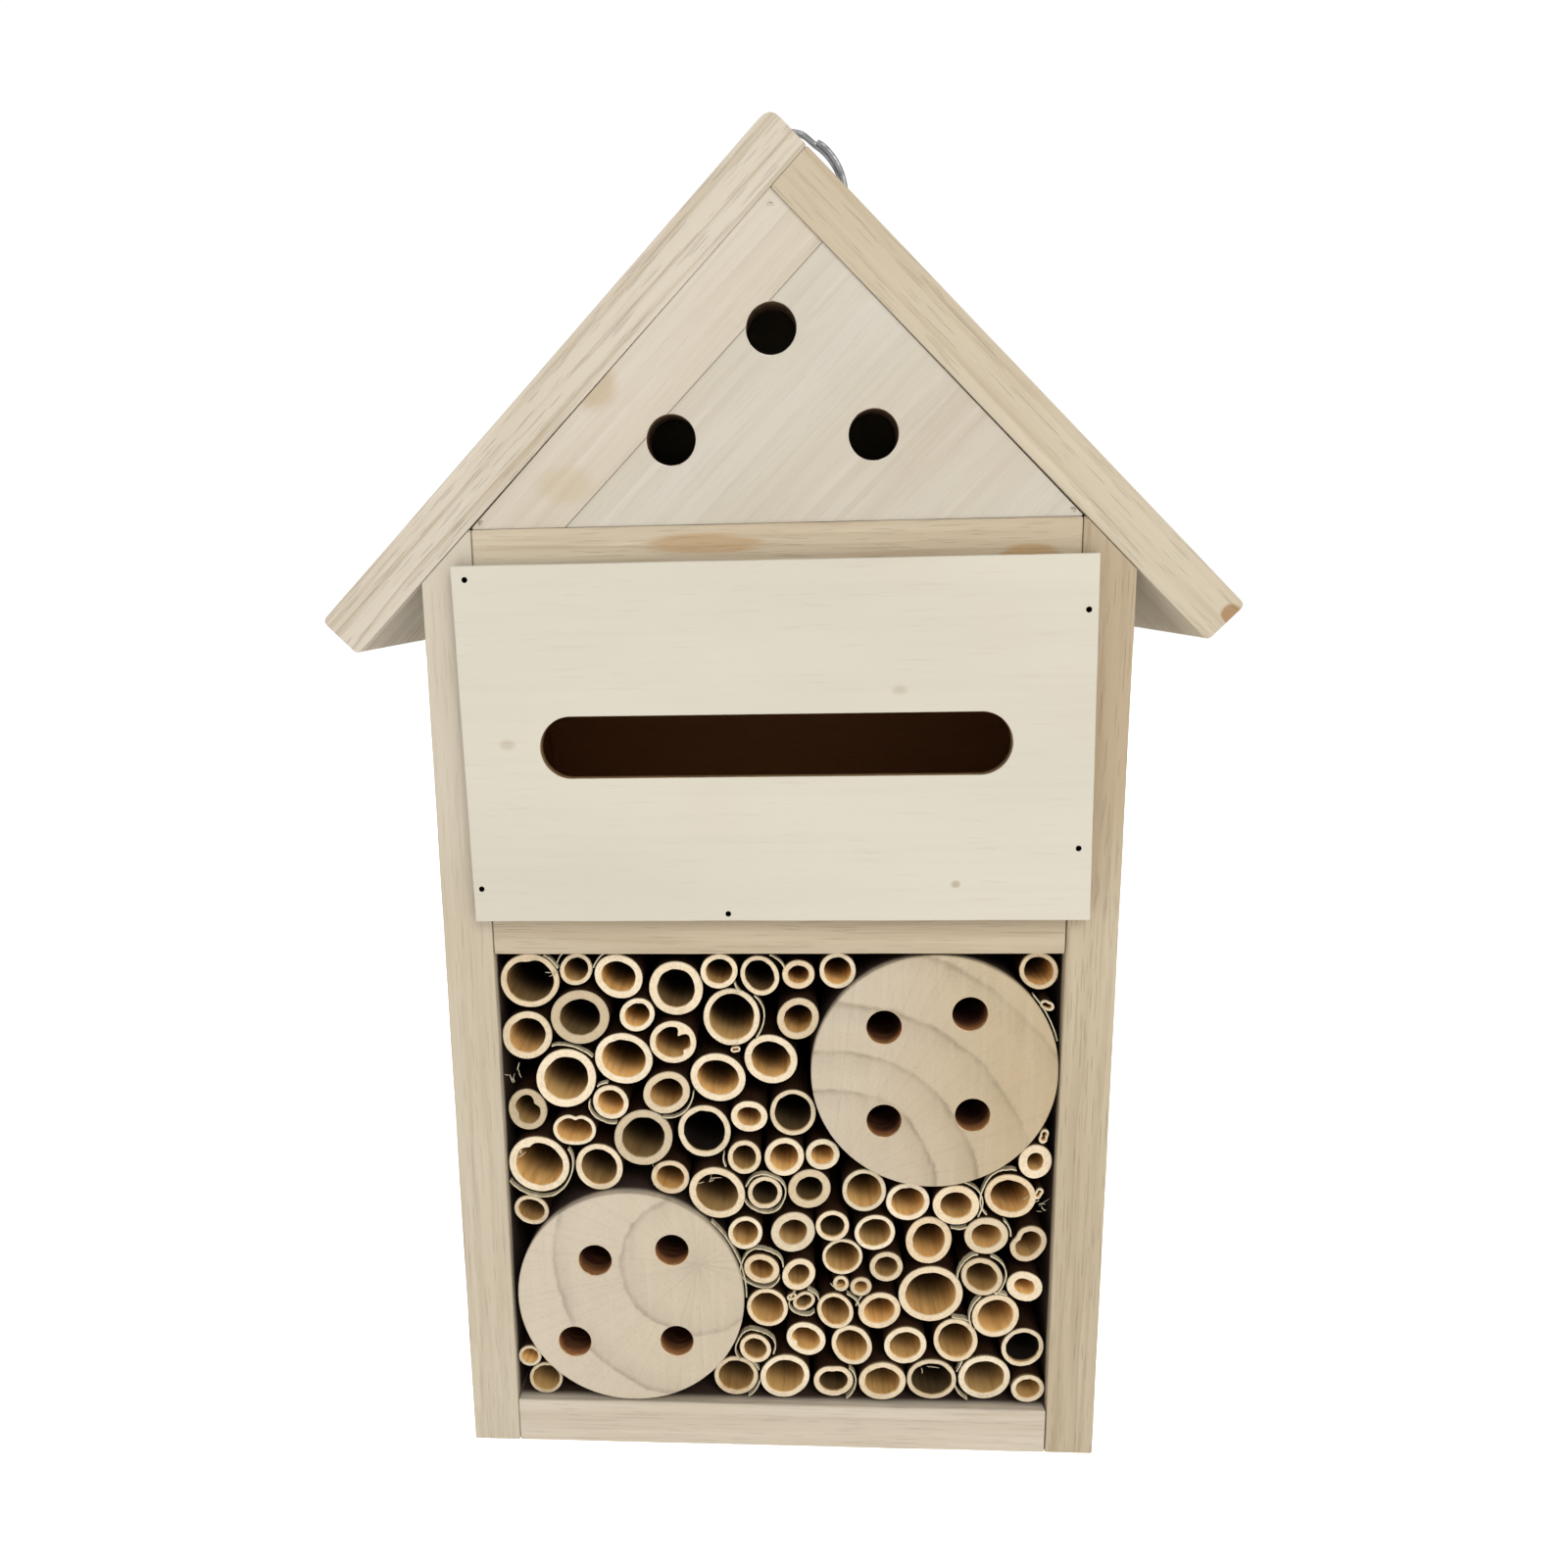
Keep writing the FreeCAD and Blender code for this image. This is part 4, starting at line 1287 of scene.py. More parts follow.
@dataclass
class LogBlock:
    """A short turned log with four nesting holes.

    Attributes:
        node: The frame's node.
        holes: Middle of each hole from the log's own middle, in X and Z.
        pith: The growth rings' middle from the log's own middle.
        rings: Distance of each late ring from the pith.
        pale: Colour of its pale side.
        warm: Colour of its warm side.
        seed: Moves its patterns.
        hole_radius: Radius of its holes.
        hole_depth: Depth of its holes.
        sides: How many points go round it.
        chip: How far into its holes the torn fibres go.
    """

    node: str
    holes: tuple[Pair, ...]
    pith: Pair
    rings: tuple[float, ...]
    pale: Colour
    warm: Colour
    seed: float
    hole_radius: float = 3.5 * MM
    hole_depth: float = 55 * MM
    sides: int = 120
    chip: float = 0.8 * MM

    def build(self) -> list[bpy.types.Object]:
        """Turns, drills and dresses the log.

        Returns:
            The log.
        """
        low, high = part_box(self.node)
        middle = ((low.x + high.x) / 2, (low.z + high.z) / 2)
        radius = (high.x - low.x) / 2
        turn = FULL_TURN / self.sides
        corners = [
            (middle[0] + radius * math.cos(turn * step), middle[1] + radius * math.sin(turn * step))
            for step in range(self.sides)
        ]
        holes = tuple(
            Hole((middle[0] + x, middle[1] + z), self.hole_radius, depth=self.hole_depth, ragged=0.55 * MM)
            for x, z in self.holes
        )
        wood = LogEnd(
            f"{self.node}_wood", self.pale, self.warm, (middle[0] + self.pith[0], middle[1] + self.pith[1]),
            self.rings, self.seed, (middle[0] - radius, middle[0] + radius),
        )
        bore = BoreWood(
            f"{self.node}_bore_wood", shown(204, 140, 84), shown(74, 32, 12), shown(234, 202, 160), low.y,
            chip=self.chip,
        )
        block = Carving(
            f"turned_{self.node}", corners, low.y, high.y, holes, ease=0.35 * MM, wobble=0.16 * MM,
            seed=self.seed,
        )
        made = dressed(block.build(), wood.make(), bore.make())
        return [settled(made, "root", "pine_log", self.node)]


@dataclass(frozen=True)
class Lobe:
    """A dent in a reed's wall, or a bit of it that stands into the bore.

    Attributes:
        angle: Where it lies round the reed, in degrees.
        width: Half its width, in degrees.
        depth: Its depth, as a share of the radius.
    """

    angle: float
    width: float
    depth: float

    def share(self, angle: float) -> float:
        """Gives how much of the dent there is at an angle in radians."""
        off = (math.degrees(angle) - self.angle + 180) % 360 - 180
        return self.depth * math.exp(-((off / self.width) ** 2))


@dataclass(frozen=True)
class Cut:
    """How one cut reed differs from a plain tube.

    Attributes:
        tone: From pale to brown.
        shade: How grey or dark its cut face is.
        dark: How dark its bore is.
        squeeze: How oval it is.
        turn: Which way its long side points, in degrees.
        dents: Dents in the whole wall.
        curls: Bits of wall that stand into the bore.
        wall: How thick its wall is, as a share of the frame's.
    """

    tone: float = 0.3
    shade: float = 0.0
    dark: float = 0.3
    squeeze: float = 0.03
    turn: float = 0.0
    dents: tuple[Lobe, ...] = ()
    curls: tuple[Lobe, ...] = ()
    wall: float = 0.92


@dataclass(frozen=True)
class Tube:
    """One reed of the frame.

    Attributes:
        x: Its middle along X.
        z: Its middle along Z.
        outer: Its outer radius.
        bore: Its bore's radius.
        front: Where it starts along Y.
        rear: Where it ends along Y.
    """

    x: float
    z: float
    outer: float
    bore: float
    front: float
    rear: float


def read_tubes(node: str) -> list[Tube]:
    """Finds the separate tubes in a node's mesh.

    Args:
        node: The frame's node.

    Returns:
        Its tubes, from the lowest up.
    """
    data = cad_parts[node].data
    keys: dict[tuple[int, int, int], int] = {}
    owner = [keys.setdefault(tuple(round(c * 1e6) for c in vert.co), vert.index) for vert in data.vertices]
    lead = list(range(len(data.vertices)))

    def root(index: int) -> int:
        """Follows a point to the one that leads its tube.

        Args:
            index: The point's number.

        Returns:
            The leading point's number.
        """
        while lead[index] != index:
            lead[index] = lead[lead[index]]
            index = lead[index]
        return index

    for edge in data.edges:
        first, second = (root(owner[index]) for index in edge.vertices)
        lead[max(first, second)] = min(first, second)
    groups: dict[int, list[Vector]] = {}
    for vert in data.vertices:
        groups.setdefault(root(owner[vert.index]), []).append(vert.co)
    found = []
    for points in groups.values():
        across = [point.x for point in points]
        depths = [point.y for point in points]
        up = [point.z for point in points]
        x, z = (min(across) + max(across)) / 2, (min(up) + max(up)) / 2
        bore = min(math.hypot(point.x - x, point.z - z) for point in points)
        outer = (max(across) - min(across)) / 2
        found.append(Tube(x, z, outer, bore, min(depths), max(depths)))
    return sorted(found, key=lambda tube: (round(tube.z, 5), round(tube.x, 5)))


class ReedMaker:
    """Builds cut reeds into one mesh, with the numbers that tone them."""

    def __init__(self, seed: int, segments: int = 44) -> None:
        """Starts an empty mesh.

        Args:
            seed: Fixes the small differences.
            segments: How many points go round a reed.
        """
        self.mesh = bmesh.new()
        self.chance = random.Random(seed)
        self.segments = segments
        # reed_wall_and_skin_shade: place across the cut wall, and on the skin the painted shade share.
        self.wall = self.mesh.verts.layers.float.new("reed_wall_and_skin_shade")
        self.tone = self.mesh.verts.layers.float.new("reed_tone")
        self.shade = self.mesh.verts.layers.float.new("reed_shade")

    def ring(self, tube: Tube, radii: Callable[[float], float], depths: Callable[[float], float],
             marks: tuple[float, float, float]) -> list[bmesh.types.BMVert]:
        """Adds one ring of points.

        Args:
            tube: The reed.
            radii: Radius at an angle.
            depths: Place along Y at an angle.
            marks: Place in the wall, which on the skin is the painted shade share, then tone and shade.

        Returns:
            The points.
        """
        found = []
        for index in range(self.segments):
            angle = FULL_TURN * index / self.segments
            radius = radii(angle)
            point = (tube.x + radius * math.cos(angle), depths(angle), tube.z + radius * math.sin(angle))
            vert = self.mesh.verts.new(point)
            vert[self.wall], vert[self.tone], vert[self.shade] = marks
            found.append(vert)
        return found

    def join(self, near: list[bmesh.types.BMVert], far: list[bmesh.types.BMVert], face: ReedFace) -> None:
        """Joins two rings with faces of one kind.

        Args:
            near: The first ring.
            far: The second ring.
            face: The kind of surface between them.
        """
        for index in range(self.segments):
            before = index - 1
            made = self.mesh.faces.new((near[before], near[index], far[index], far[before]))
            made.material_index = face.value

    def add(self, tube: Tube, cut: Cut) -> None:
        """Adds one reed.

        Args:
            tube: Its place and sizes.
            cut: How it differs from a plain tube.
        """
        lift = self.chance.uniform(0, 50)
        bore = tube.outer - (tube.outer - tube.bore) * cut.wall
        lean = (self.chance.uniform(-0.05, 0.05), self.chance.uniform(-0.05, 0.05))
        turn = math.radians(cut.turn)

        def oval(angle: float) -> float:
            """Gives how much of the radius is left.

            Args:
                angle: The angle in radians.

            Returns:
                The share that is left.
            """
            pinch = 1 - cut.squeeze * (0.5 - 0.5 * math.cos(2 * (angle - turn)))
            lump = 0.012 * (noise.noise(Vector((1.3 * math.cos(angle), 1.3 * math.sin(angle), lift))) + 1)
            return pinch - lump - sum(dent.share(angle) for dent in cut.dents)

        def outside(angle: float) -> float:
            """Gives the outer radius at an angle."""
            return tube.outer * oval(angle)

        def inside(angle: float) -> float:
            """Gives the bore's radius.

            Args:
                angle: The angle in radians.

            Returns:
                The radius.
            """
            grain = noise.noise(Vector((3 * math.cos(angle), 3 * math.sin(angle), lift + 9)))
            curl = sum(lobe.share(angle) for lobe in cut.curls)
            gone = tube.outer * (1 - oval(angle))
            return max(0.25 * bore, bore * (1 - curl + 0.03 * grain) - gone)

        def face(angle: float) -> float:
            """Gives where the saw left the cut face.

            Args:
                angle: The angle in radians.

            Returns:
                Its place along Y.
            """
            rough = noise.noise(Vector((4 * math.cos(angle), 4 * math.sin(angle), lift + 21)))
            slant = lean[0] * math.cos(angle) + lean[1] * math.sin(angle)
            return tube.front + 0.12 * MM + tube.outer * (slant + 0.06) + 0.1 * MM * (rough + 1)

        ease = min(0.16 * MM, 0.2 * (tube.outer - bore))
        # On skin rings the first mark is the painted shade share: full behind the cut, none at the cut's outer
        # edge.
        skin = (1.0, cut.tone, cut.shade)
        previous = None
        for depth in (tube.rear, 0.5 * (tube.rear + tube.front), tube.front + 4 * MM, tube.front + 1.3 * MM):
            ring = self.ring(tube, outside, lambda _: depth, skin)
            if previous:
                self.join(previous, ring, ReedFace.SKIN)
            else:
                rear_ring = ring
            previous = ring
        steps = (
            (lambda a: outside(a), ease, 0.0),
            (lambda a: outside(a) - ease, 0.0, 0.1),
            (lambda a: 0.5 * (outside(a) + inside(a)), 0.3 * ease, 0.5),
            (lambda a: inside(a) + ease, 0.0, 0.9),
            (lambda a: inside(a), ease, 1.0),
        )
        for number, (radii, sink, wall) in enumerate(steps):
            ring = self.ring(tube, radii, lambda a, sink=sink: face(a) + sink, (wall, cut.tone, cut.shade))
            self.join(previous, ring, ReedFace.CUT if number else ReedFace.SKIN)
            previous = ring
        hollow = (1.0, 0.35 + 0.5 * cut.tone, cut.dark)
        for into in (1.6 * MM, 3.5 * MM, 9 * MM, 22 * MM, tube.rear - tube.front):
            depth = tube.front + into
            share = max(0.0, 1 - into / (6 * MM))
            ring = self.ring(
                tube, lambda a: share * inside(a) + (1 - share) * min(bore, outside(a) * 0.85),
                lambda _: depth, hollow,
            )
            self.join(previous, ring, ReedFace.BORE)
            previous = ring
        self.join(previous, rear_ring, ReedFace.CUT)


@dataclass
class ReedBay:
    """All the reeds in the bay, each with its own small differences.

    Attributes:
        floor: Height of the bay's floor.
        height: Height of the bay.
        half_width: Half the width of the bay.
        marked: Reeds that differ, by how far across and up the bay they are.
    """

    floor: float = 10 * MM
    height: float = 99.5 * MM
    half_width: float = 56 * MM
    marked: dict[Pair, Cut] = field(default_factory=lambda: {
        (6, 94): Cut(0.45, 0.1, 0.75, 0.05, 0, curls=(Lobe(95, 18, 0.1),)),
        (22, 95): Cut(0.15, 0.0, 0.1, 0.08, 150),
        (32, 92): Cut(0.25, 0.0, 0.75, 0.04, 90),
        (47, 95): Cut(0.35, 0.0, 0.85, 0.12, 120),
        (15, 86): Cut(0.3, 0.55, 0.8, 0.04, 20),
        (31, 81): Cut(0.3, 0.0, 0.3, 0.05, 0, curls=(Lobe(52, 14, 0.5), Lobe(-38, 10, 0.25))),
        (42, 86): Cut(0.2, 0.0, 0.35, 0.04, 90),
        (5, 81): Cut(0.3, 0.1, 0.2, 0.05, 30),
        (22, 78): Cut(0.1, 0.0, 0.0, 0.09, 160),
        (12, 73): Cut(0.15, 0.0, 0.3, 0.06, 60),
        (39, 73): Cut(0.15, 0.0, 0.0, 0.1, 155),
        (49, 77): Cut(0.2, 0.0, 0.15, 0.07, 150),
        (4, 66): Cut(0.4, 0.5, 0.5, 0.1, 100, curls=(Lobe(40, 24, 0.26), Lobe(200, 22, 0.2))),
        (13, 62): Cut(0.1, 0.0, 0.1, 0.26, 0, dents=(Lobe(84, 15, 0.11),), wall=0.5),
        (26, 59): Cut(0.2, 0.5, 0.72, 0.05, 40),
        (37, 61): Cut(0.2, 0.1, 1.0, 0.05, 100),
        (54, 66): Cut(0.35, 0.15, 0.9, 0.06, 90),
        (6, 54): Cut(0.15, 0.0, 0.1, 0.05, 140, curls=(Lobe(115, 10, 0.14),)),
        (17, 53): Cut(0.25, 0.0, 0.55, 0.05, 100),
        (51, 56): Cut(0.2, 0.0, 0.05, 0.05, 60),
        (47, 48): Cut(0.3, 0.1, 0.9, 0.05, 60),
        (56, 49): Cut(0.4, 0.3, 0.85, 0.06, 30),
        (60, 41): Cut(0.3, 0.0, 0.85, 0.05, 30),
        (96, 37): Cut(0.4, 0.3, 0.4, 0.18, 60, dents=(Lobe(150, 20, 0.1),)),
        (79, 25): Cut(0.35, 0.05, 0.2, 0.05, 30),
        (74, 13): Cut(0.2, 0.0, 0.3, 0.05, 30),
        (56, 23): Cut(0.4, 0.1, 0.6, 0.2, 40),
        (95, 14): Cut(0.2, 0.1, 1.0, 0.05, 30),
        (79, 5): Cut(0.25, 0.2, 0.9, 0.08, 0),
        (61, 4): Cut(0.3, 0.0, 0.85, 0.14, 0, dents=(Lobe(90, 25, 0.08),)),
        (55, 14): Cut(0.15, 0.0, 0.1, 0.12, 150, curls=(Lobe(200, 12, 0.3),)),
    })

    def finishes(self) -> list[bpy.types.Material]:
        """Makes the reeds' finishes.

        Returns:
            The cut, bore and skin finishes, in the order of their slots.
        """
        cut = ReedFinish(
            "reed_cut", ReedFace.CUT, darker(shown(252, 238, 210), 1.12), darker(shown(228, 196, 150), 1.08),
            shown(150, 134, 102),
        )
        bore = ReedFinish(
            "reed_bore", ReedFace.BORE, darker(shown(244, 210, 142), 1.9), darker(shown(228, 164, 86), 1.6),
            shown(34, 22, 13),
        )
        return [
            cut.make(),
            bore.make(),
            ReedFinish(
                "reed_skin", ReedFace.SKIN, shown(204, 182, 134), shown(160, 120, 74), shown(104, 92, 62)
            ).make(),
        ]

    def cut_for(self, tube: Tube, chance: random.Random) -> Cut:
        """Picks how a reed differs, by where it is.

        Args:
            tube: The reed.
            chance: Source of the small differences.

        Returns:
            Its differences.
        """
        plain = Cut(
            chance.uniform(0.0, 0.6), chance.choice((0.0, 0.0, 0.1, 0.3)), chance.uniform(0.0, 0.55),
            chance.uniform(0.03, 0.13), chance.uniform(0, 180), wall=chance.uniform(0.8, 1.0),
        )
        across = 50 * (tube.x / self.half_width + 1)
        up = 100 * (tube.z - self.floor) / self.height
        near = min(self.marked, key=lambda place: math.hypot(place[0] - across, place[1] - up))
        return self.marked[near] if math.hypot(near[0] - across, near[1] - up) < 2.6 else plain

    def build(self) -> list[bpy.types.Object]:
        """Builds and dresses the reeds, one piece for each node.

        Returns:
            The pieces.
        """
        finishes = self.finishes()
        nodes = sorted(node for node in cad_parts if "reed" in node)
        made = []
        for number, node in enumerate(nodes):
            maker = ReedMaker(number)
            for tube in read_tubes(node):
                maker.add(tube, self.cut_for(tube, maker.chance))
            piece = new_piece(f"cut_{node}", maker.mesh, 42.0)
            made.append(settled(dressed(piece, *finishes), "root", "reed", node))
        return made


def sweep(mesh: bmesh.types.BMesh, path: Sequence[Vector], section: Callable[[float], list[Pair]]) -> None:
    """Sweeps a section along a path and closes both ends.

    Args:
        mesh: The mesh to add to.
        path: Points along the middle.
        section: Gives the section's points at a share of the way.
    """
    side = (path[1] - path[0]).orthogonal().normalized()
    rings = []
    for index, point in enumerate(path):
        ahead = (path[min(index + 1, len(path) - 1)] - path[max(index - 1, 0)]).normalized()
        side = (side - ahead * side.dot(ahead)).normalized()
        other = ahead.cross(side)
        outline = section(index / (len(path) - 1))
        rings.append([mesh.verts.new(point + side * a + other * b) for a, b in outline])
    for near, far in zip(rings, rings[1:]):
        for index in range(len(near)):
            mesh.faces.new((near[index - 1], near[index], far[index], far[index - 1]))
    mesh.faces.new(rings[0])
    mesh.faces.new(list(reversed(rings[-1])))


def round_section(radius: float, sides: int, taper: float = 0.0) -> Callable[[float], list[Pair]]:
    """Gives a round section that thins towards both ends.

    Args:
        radius: Its radius.
        sides: How many points it has.
        taper: Share of the radius that is gone at the ends.

    Returns:
        The section at a share of the way.
    """

    def section(share: float) -> list[Pair]:
        """Gives the points.

        Args:
            share: How far along the way, 0 to 1.

        Returns:
            The points of the round.
        """
        here = radius * (1 - taper * abs(2 * share - 1) ** 3)
        turn = FULL_TURN / sides
        return [(here * math.cos(turn * side), here * math.sin(turn * side)) for side in range(sides)]

    return section


@dataclass
class Litter:
    """Dry bits between the reeds: crushed straws, peeled skins and loose fibres. Sizes in millimetres.

    Attributes:
        front: Where the bits start along Y.
        straws: Middle, long and short radius and turn in degrees of each crushed straw.
        peel_steps: How many points divide a reed's girth when peels are laid round it.
        peel_share: Share of the gaps that hold a peel.
        peel_wall: Thickness of a peel.
        peel_depth: How far a peel goes in from its front.
        peel_shortest: The fewest steps round a reed that a peel needs.
        wisps: Middle, spread, longest fibre and number of each tuft.
    """

    front: float = -38.3
    straws: tuple[tuple[float, ...], ...] = (
        (53.3, 98.4, 1.5, 0.95, -25), (53.7, 70.8, 1.6, 0.8, 78), (53.1, 58.3, 1.3, 0.7, 60),
        (-8.2, 89.0, 1.0, 0.6, 10), (2.9, 34.2, 1.1, 0.7, 30),
    )
    peel_steps: int = 72
    peel_share: float = 0.16
    peel_wall: float = 0.26
    peel_depth: float = 1.6
    peel_shortest: int = 5
    wisps: tuple[tuple[float, ...], ...] = (
        (-54.2, 83.5, 1.6, 3.0, 6), (53.4, 56.0, 1.8, 3.0, 8), (-25.5, 64.0, 1.6, 2.6, 5),
        (-14.0, 60.5, 1.4, 2.4, 5), (31.0, 18.5, 1.4, 3.2, 4), (-44.8, 105.0, 1.6, 2.4, 3),
        (12.8, 36.5, 1.4, 2.4, 5), (41.0, 29.0, 1.6, 2.6, 4), (-53.8, 66.0, 1.4, 3.0, 7),
    )

    def crushed(self) -> bpy.types.Object:
        """Builds the crushed straws.

        Returns:
            The piece.
        """
        maker = ReedMaker(501, 28)
        for x, z, long_side, short_side, turn in self.straws:
            tube = Tube(x * MM, z * MM, long_side * MM, 0.62 * long_side * MM, self.front * MM, 0.0)
            squeeze = 1 - short_side / long_side
            maker.add(tube, Cut(0.1, 0.0, 0.5, squeeze, turn))
        return new_piece("crushed_straws", maker.mesh, 42.0)

    def clear_arcs(self, tube: Tube, others: list[Tube], radius: float) -> list[range]:
        """Finds where a circle round a reed runs clear of everything else in the bay.

        Args:
            tube: The reed.
            others: Every reed and log.
            radius: The circle's radius.

        Returns:
            Runs of steps round the circle.
        """
        turn = FULL_TURN / self.peel_steps
        near = [
            other for other in others
            if other is not tube and math.hypot(other.x - tube.x, other.z - tube.z) < other.outer + 2 * radius
        ]
        clear = []
        for step in range(self.peel_steps):
            x, z = tube.x + radius * math.cos(turn * step), tube.z + radius * math.sin(turn * step)
            inside = abs(x) < 55.5 * MM and 10.5 * MM < z < 109 * MM
            clear.append(inside and all(math.hypot(x - o.x, z - o.z) > o.outer + 0.1 * MM for o in near))
        if all(clear) or not any(clear):
            return []
        first = clear.index(False)
        found, run = [], 0
        for step in range(first, first + self.peel_steps + 1):
            if clear[step % self.peel_steps]:
                run += 1
                continue
            if run >= self.peel_shortest:
                found.append(range(step - run, step))
            run = 0
        return found

    def peeled(self, tubes: list[Tube]) -> bpy.types.Object:
        """Builds the peels, each in a gap beside its reed.

        Args:
            tubes: Every reed and log.

        Returns:
            The piece.
        """
        mesh = bmesh.new()
        chance = random.Random(31)
        turn = FULL_TURN / self.peel_steps
        for tube in tubes:
            off = chance.uniform(0.25, 0.7) * MM
            for arc in self.clear_arcs(tube, tubes, tube.outer + off):
                if chance.random() > self.peel_share:
                    continue
                start = max(tube.front, self.front * MM)
                rows: list[list[bmesh.types.BMVert]] = [[], [], [], []]
                for step in arc:
                    radius = tube.outer + off * (1 + 0.3 * math.sin(0.35 * step))
                    ragged = 0.3 * MM * noise.noise(Vector((0.6 * step, tube.x / MM, tube.z / MM)))
                    for row, (depth, wall) in enumerate(((1, 0), (0, 0), (0, 1), (1, 1))):
                        reach = radius + wall * self.peel_wall * MM
                        inward = start + ragged + depth * self.peel_depth * MM
                        point = (
                            tube.x + reach * math.cos(turn * step), inward, tube.z + reach * math.sin(turn * step)
                        )
                        rows[row].append(mesh.verts.new(point))
                for near, far in zip(rows, rows[1:] + rows[:1]):
                    for index in range(1, len(near)):
                        mesh.faces.new((near[index - 1], near[index], far[index], far[index - 1]))
                for end in (0, -1):
                    mesh.faces.new([row[end] for row in rows])
        return new_piece("peeled_skins", mesh, 42.0)

    def tufts(self) -> bpy.types.Object:
        """Builds the loose fibres.

        Returns:
            The piece.
        """
        mesh = bmesh.new()
        chance = random.Random(77)
        for x, z, spread, longest, count in self.wisps:
            for _ in range(int(count)):
                aside, up = chance.gauss(0, spread * 0.5), chance.gauss(0, spread * 0.5)
                start = Vector((x + aside, self.front, z + up))
                start.y += chance.uniform(0.0, 1.2)
                start.x = max(-55.6, min(55.6, start.x))
                angle = chance.uniform(0, FULL_TURN)
                length = chance.uniform(0.35, 1.0) * longest
                ahead = Vector((math.cos(angle), chance.uniform(-0.1, 0.5), math.sin(angle)))
                bend = Vector((chance.gauss(0, 0.3), chance.uniform(0.0, 0.6), chance.gauss(0, 0.3)))
                path = []
                for step in range(9):
                    share = step / 8
                    point = start + ahead * length * share + bend * length * 0.6 * share * share
                    point.x = max(-55.8, min(55.8, point.x))
                    path.append(point * MM)
                sweep(mesh, path, round_section(chance.uniform(0.05, 0.13) * MM, 6, 0.7))
        return new_piece("loose_fibres", mesh, 60.0)

    def build(self) -> list[bpy.types.Object]:
        """Builds and dresses the litter.

        Returns:
            The three pieces.
        """
        finishes = [bpy.data.materials[name] for name in ("reed_cut", "reed_bore", "reed_skin")]
        fibre = ReedFinish(
            "dry_fibre", ReedFace.SKIN, shown(226, 212, 178), shown(196, 170, 124), shown(120, 100, 70)
        ).make()
        tubes = [tube for node in sorted(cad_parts) if "reed" in node for tube in read_tubes(node)]
        for node in ("upper_log_block", "lower_log_block"):
            low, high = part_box(node)
            radius = (high.x - low.x) / 2
            tubes.append(Tube((low.x + high.x) / 2, (low.z + high.z) / 2, radius, 0.0, low.y, high.y))
        made = [
            dressed(self.crushed(), *finishes),
            dressed(self.peeled(tubes), fibre),
            dressed(self.tufts(), fibre),
        ]
        return [settled(piece, "root", "reed") for piece in made]


@dataclass
class Brads:
    """The thin nails, which keep the frame's own meshes.

    Attributes:
        steel: Their finish.
    """

    steel: Steel = Steel("brad_steel", (0.42, 0.39, 0.3, 1.0), (0.2, 0.17, 0.12, 1.0), 0.55, 0.6)

    def build(self) -> list[bpy.types.Object]:
        """Dresses every brad.

        Returns:
            The frame's brads.
        """
        finish = self.steel.make()
        nodes = [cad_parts[name] for name in sorted(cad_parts) if name.endswith("brads")]
        return [dressed(node, finish) for node in nodes]


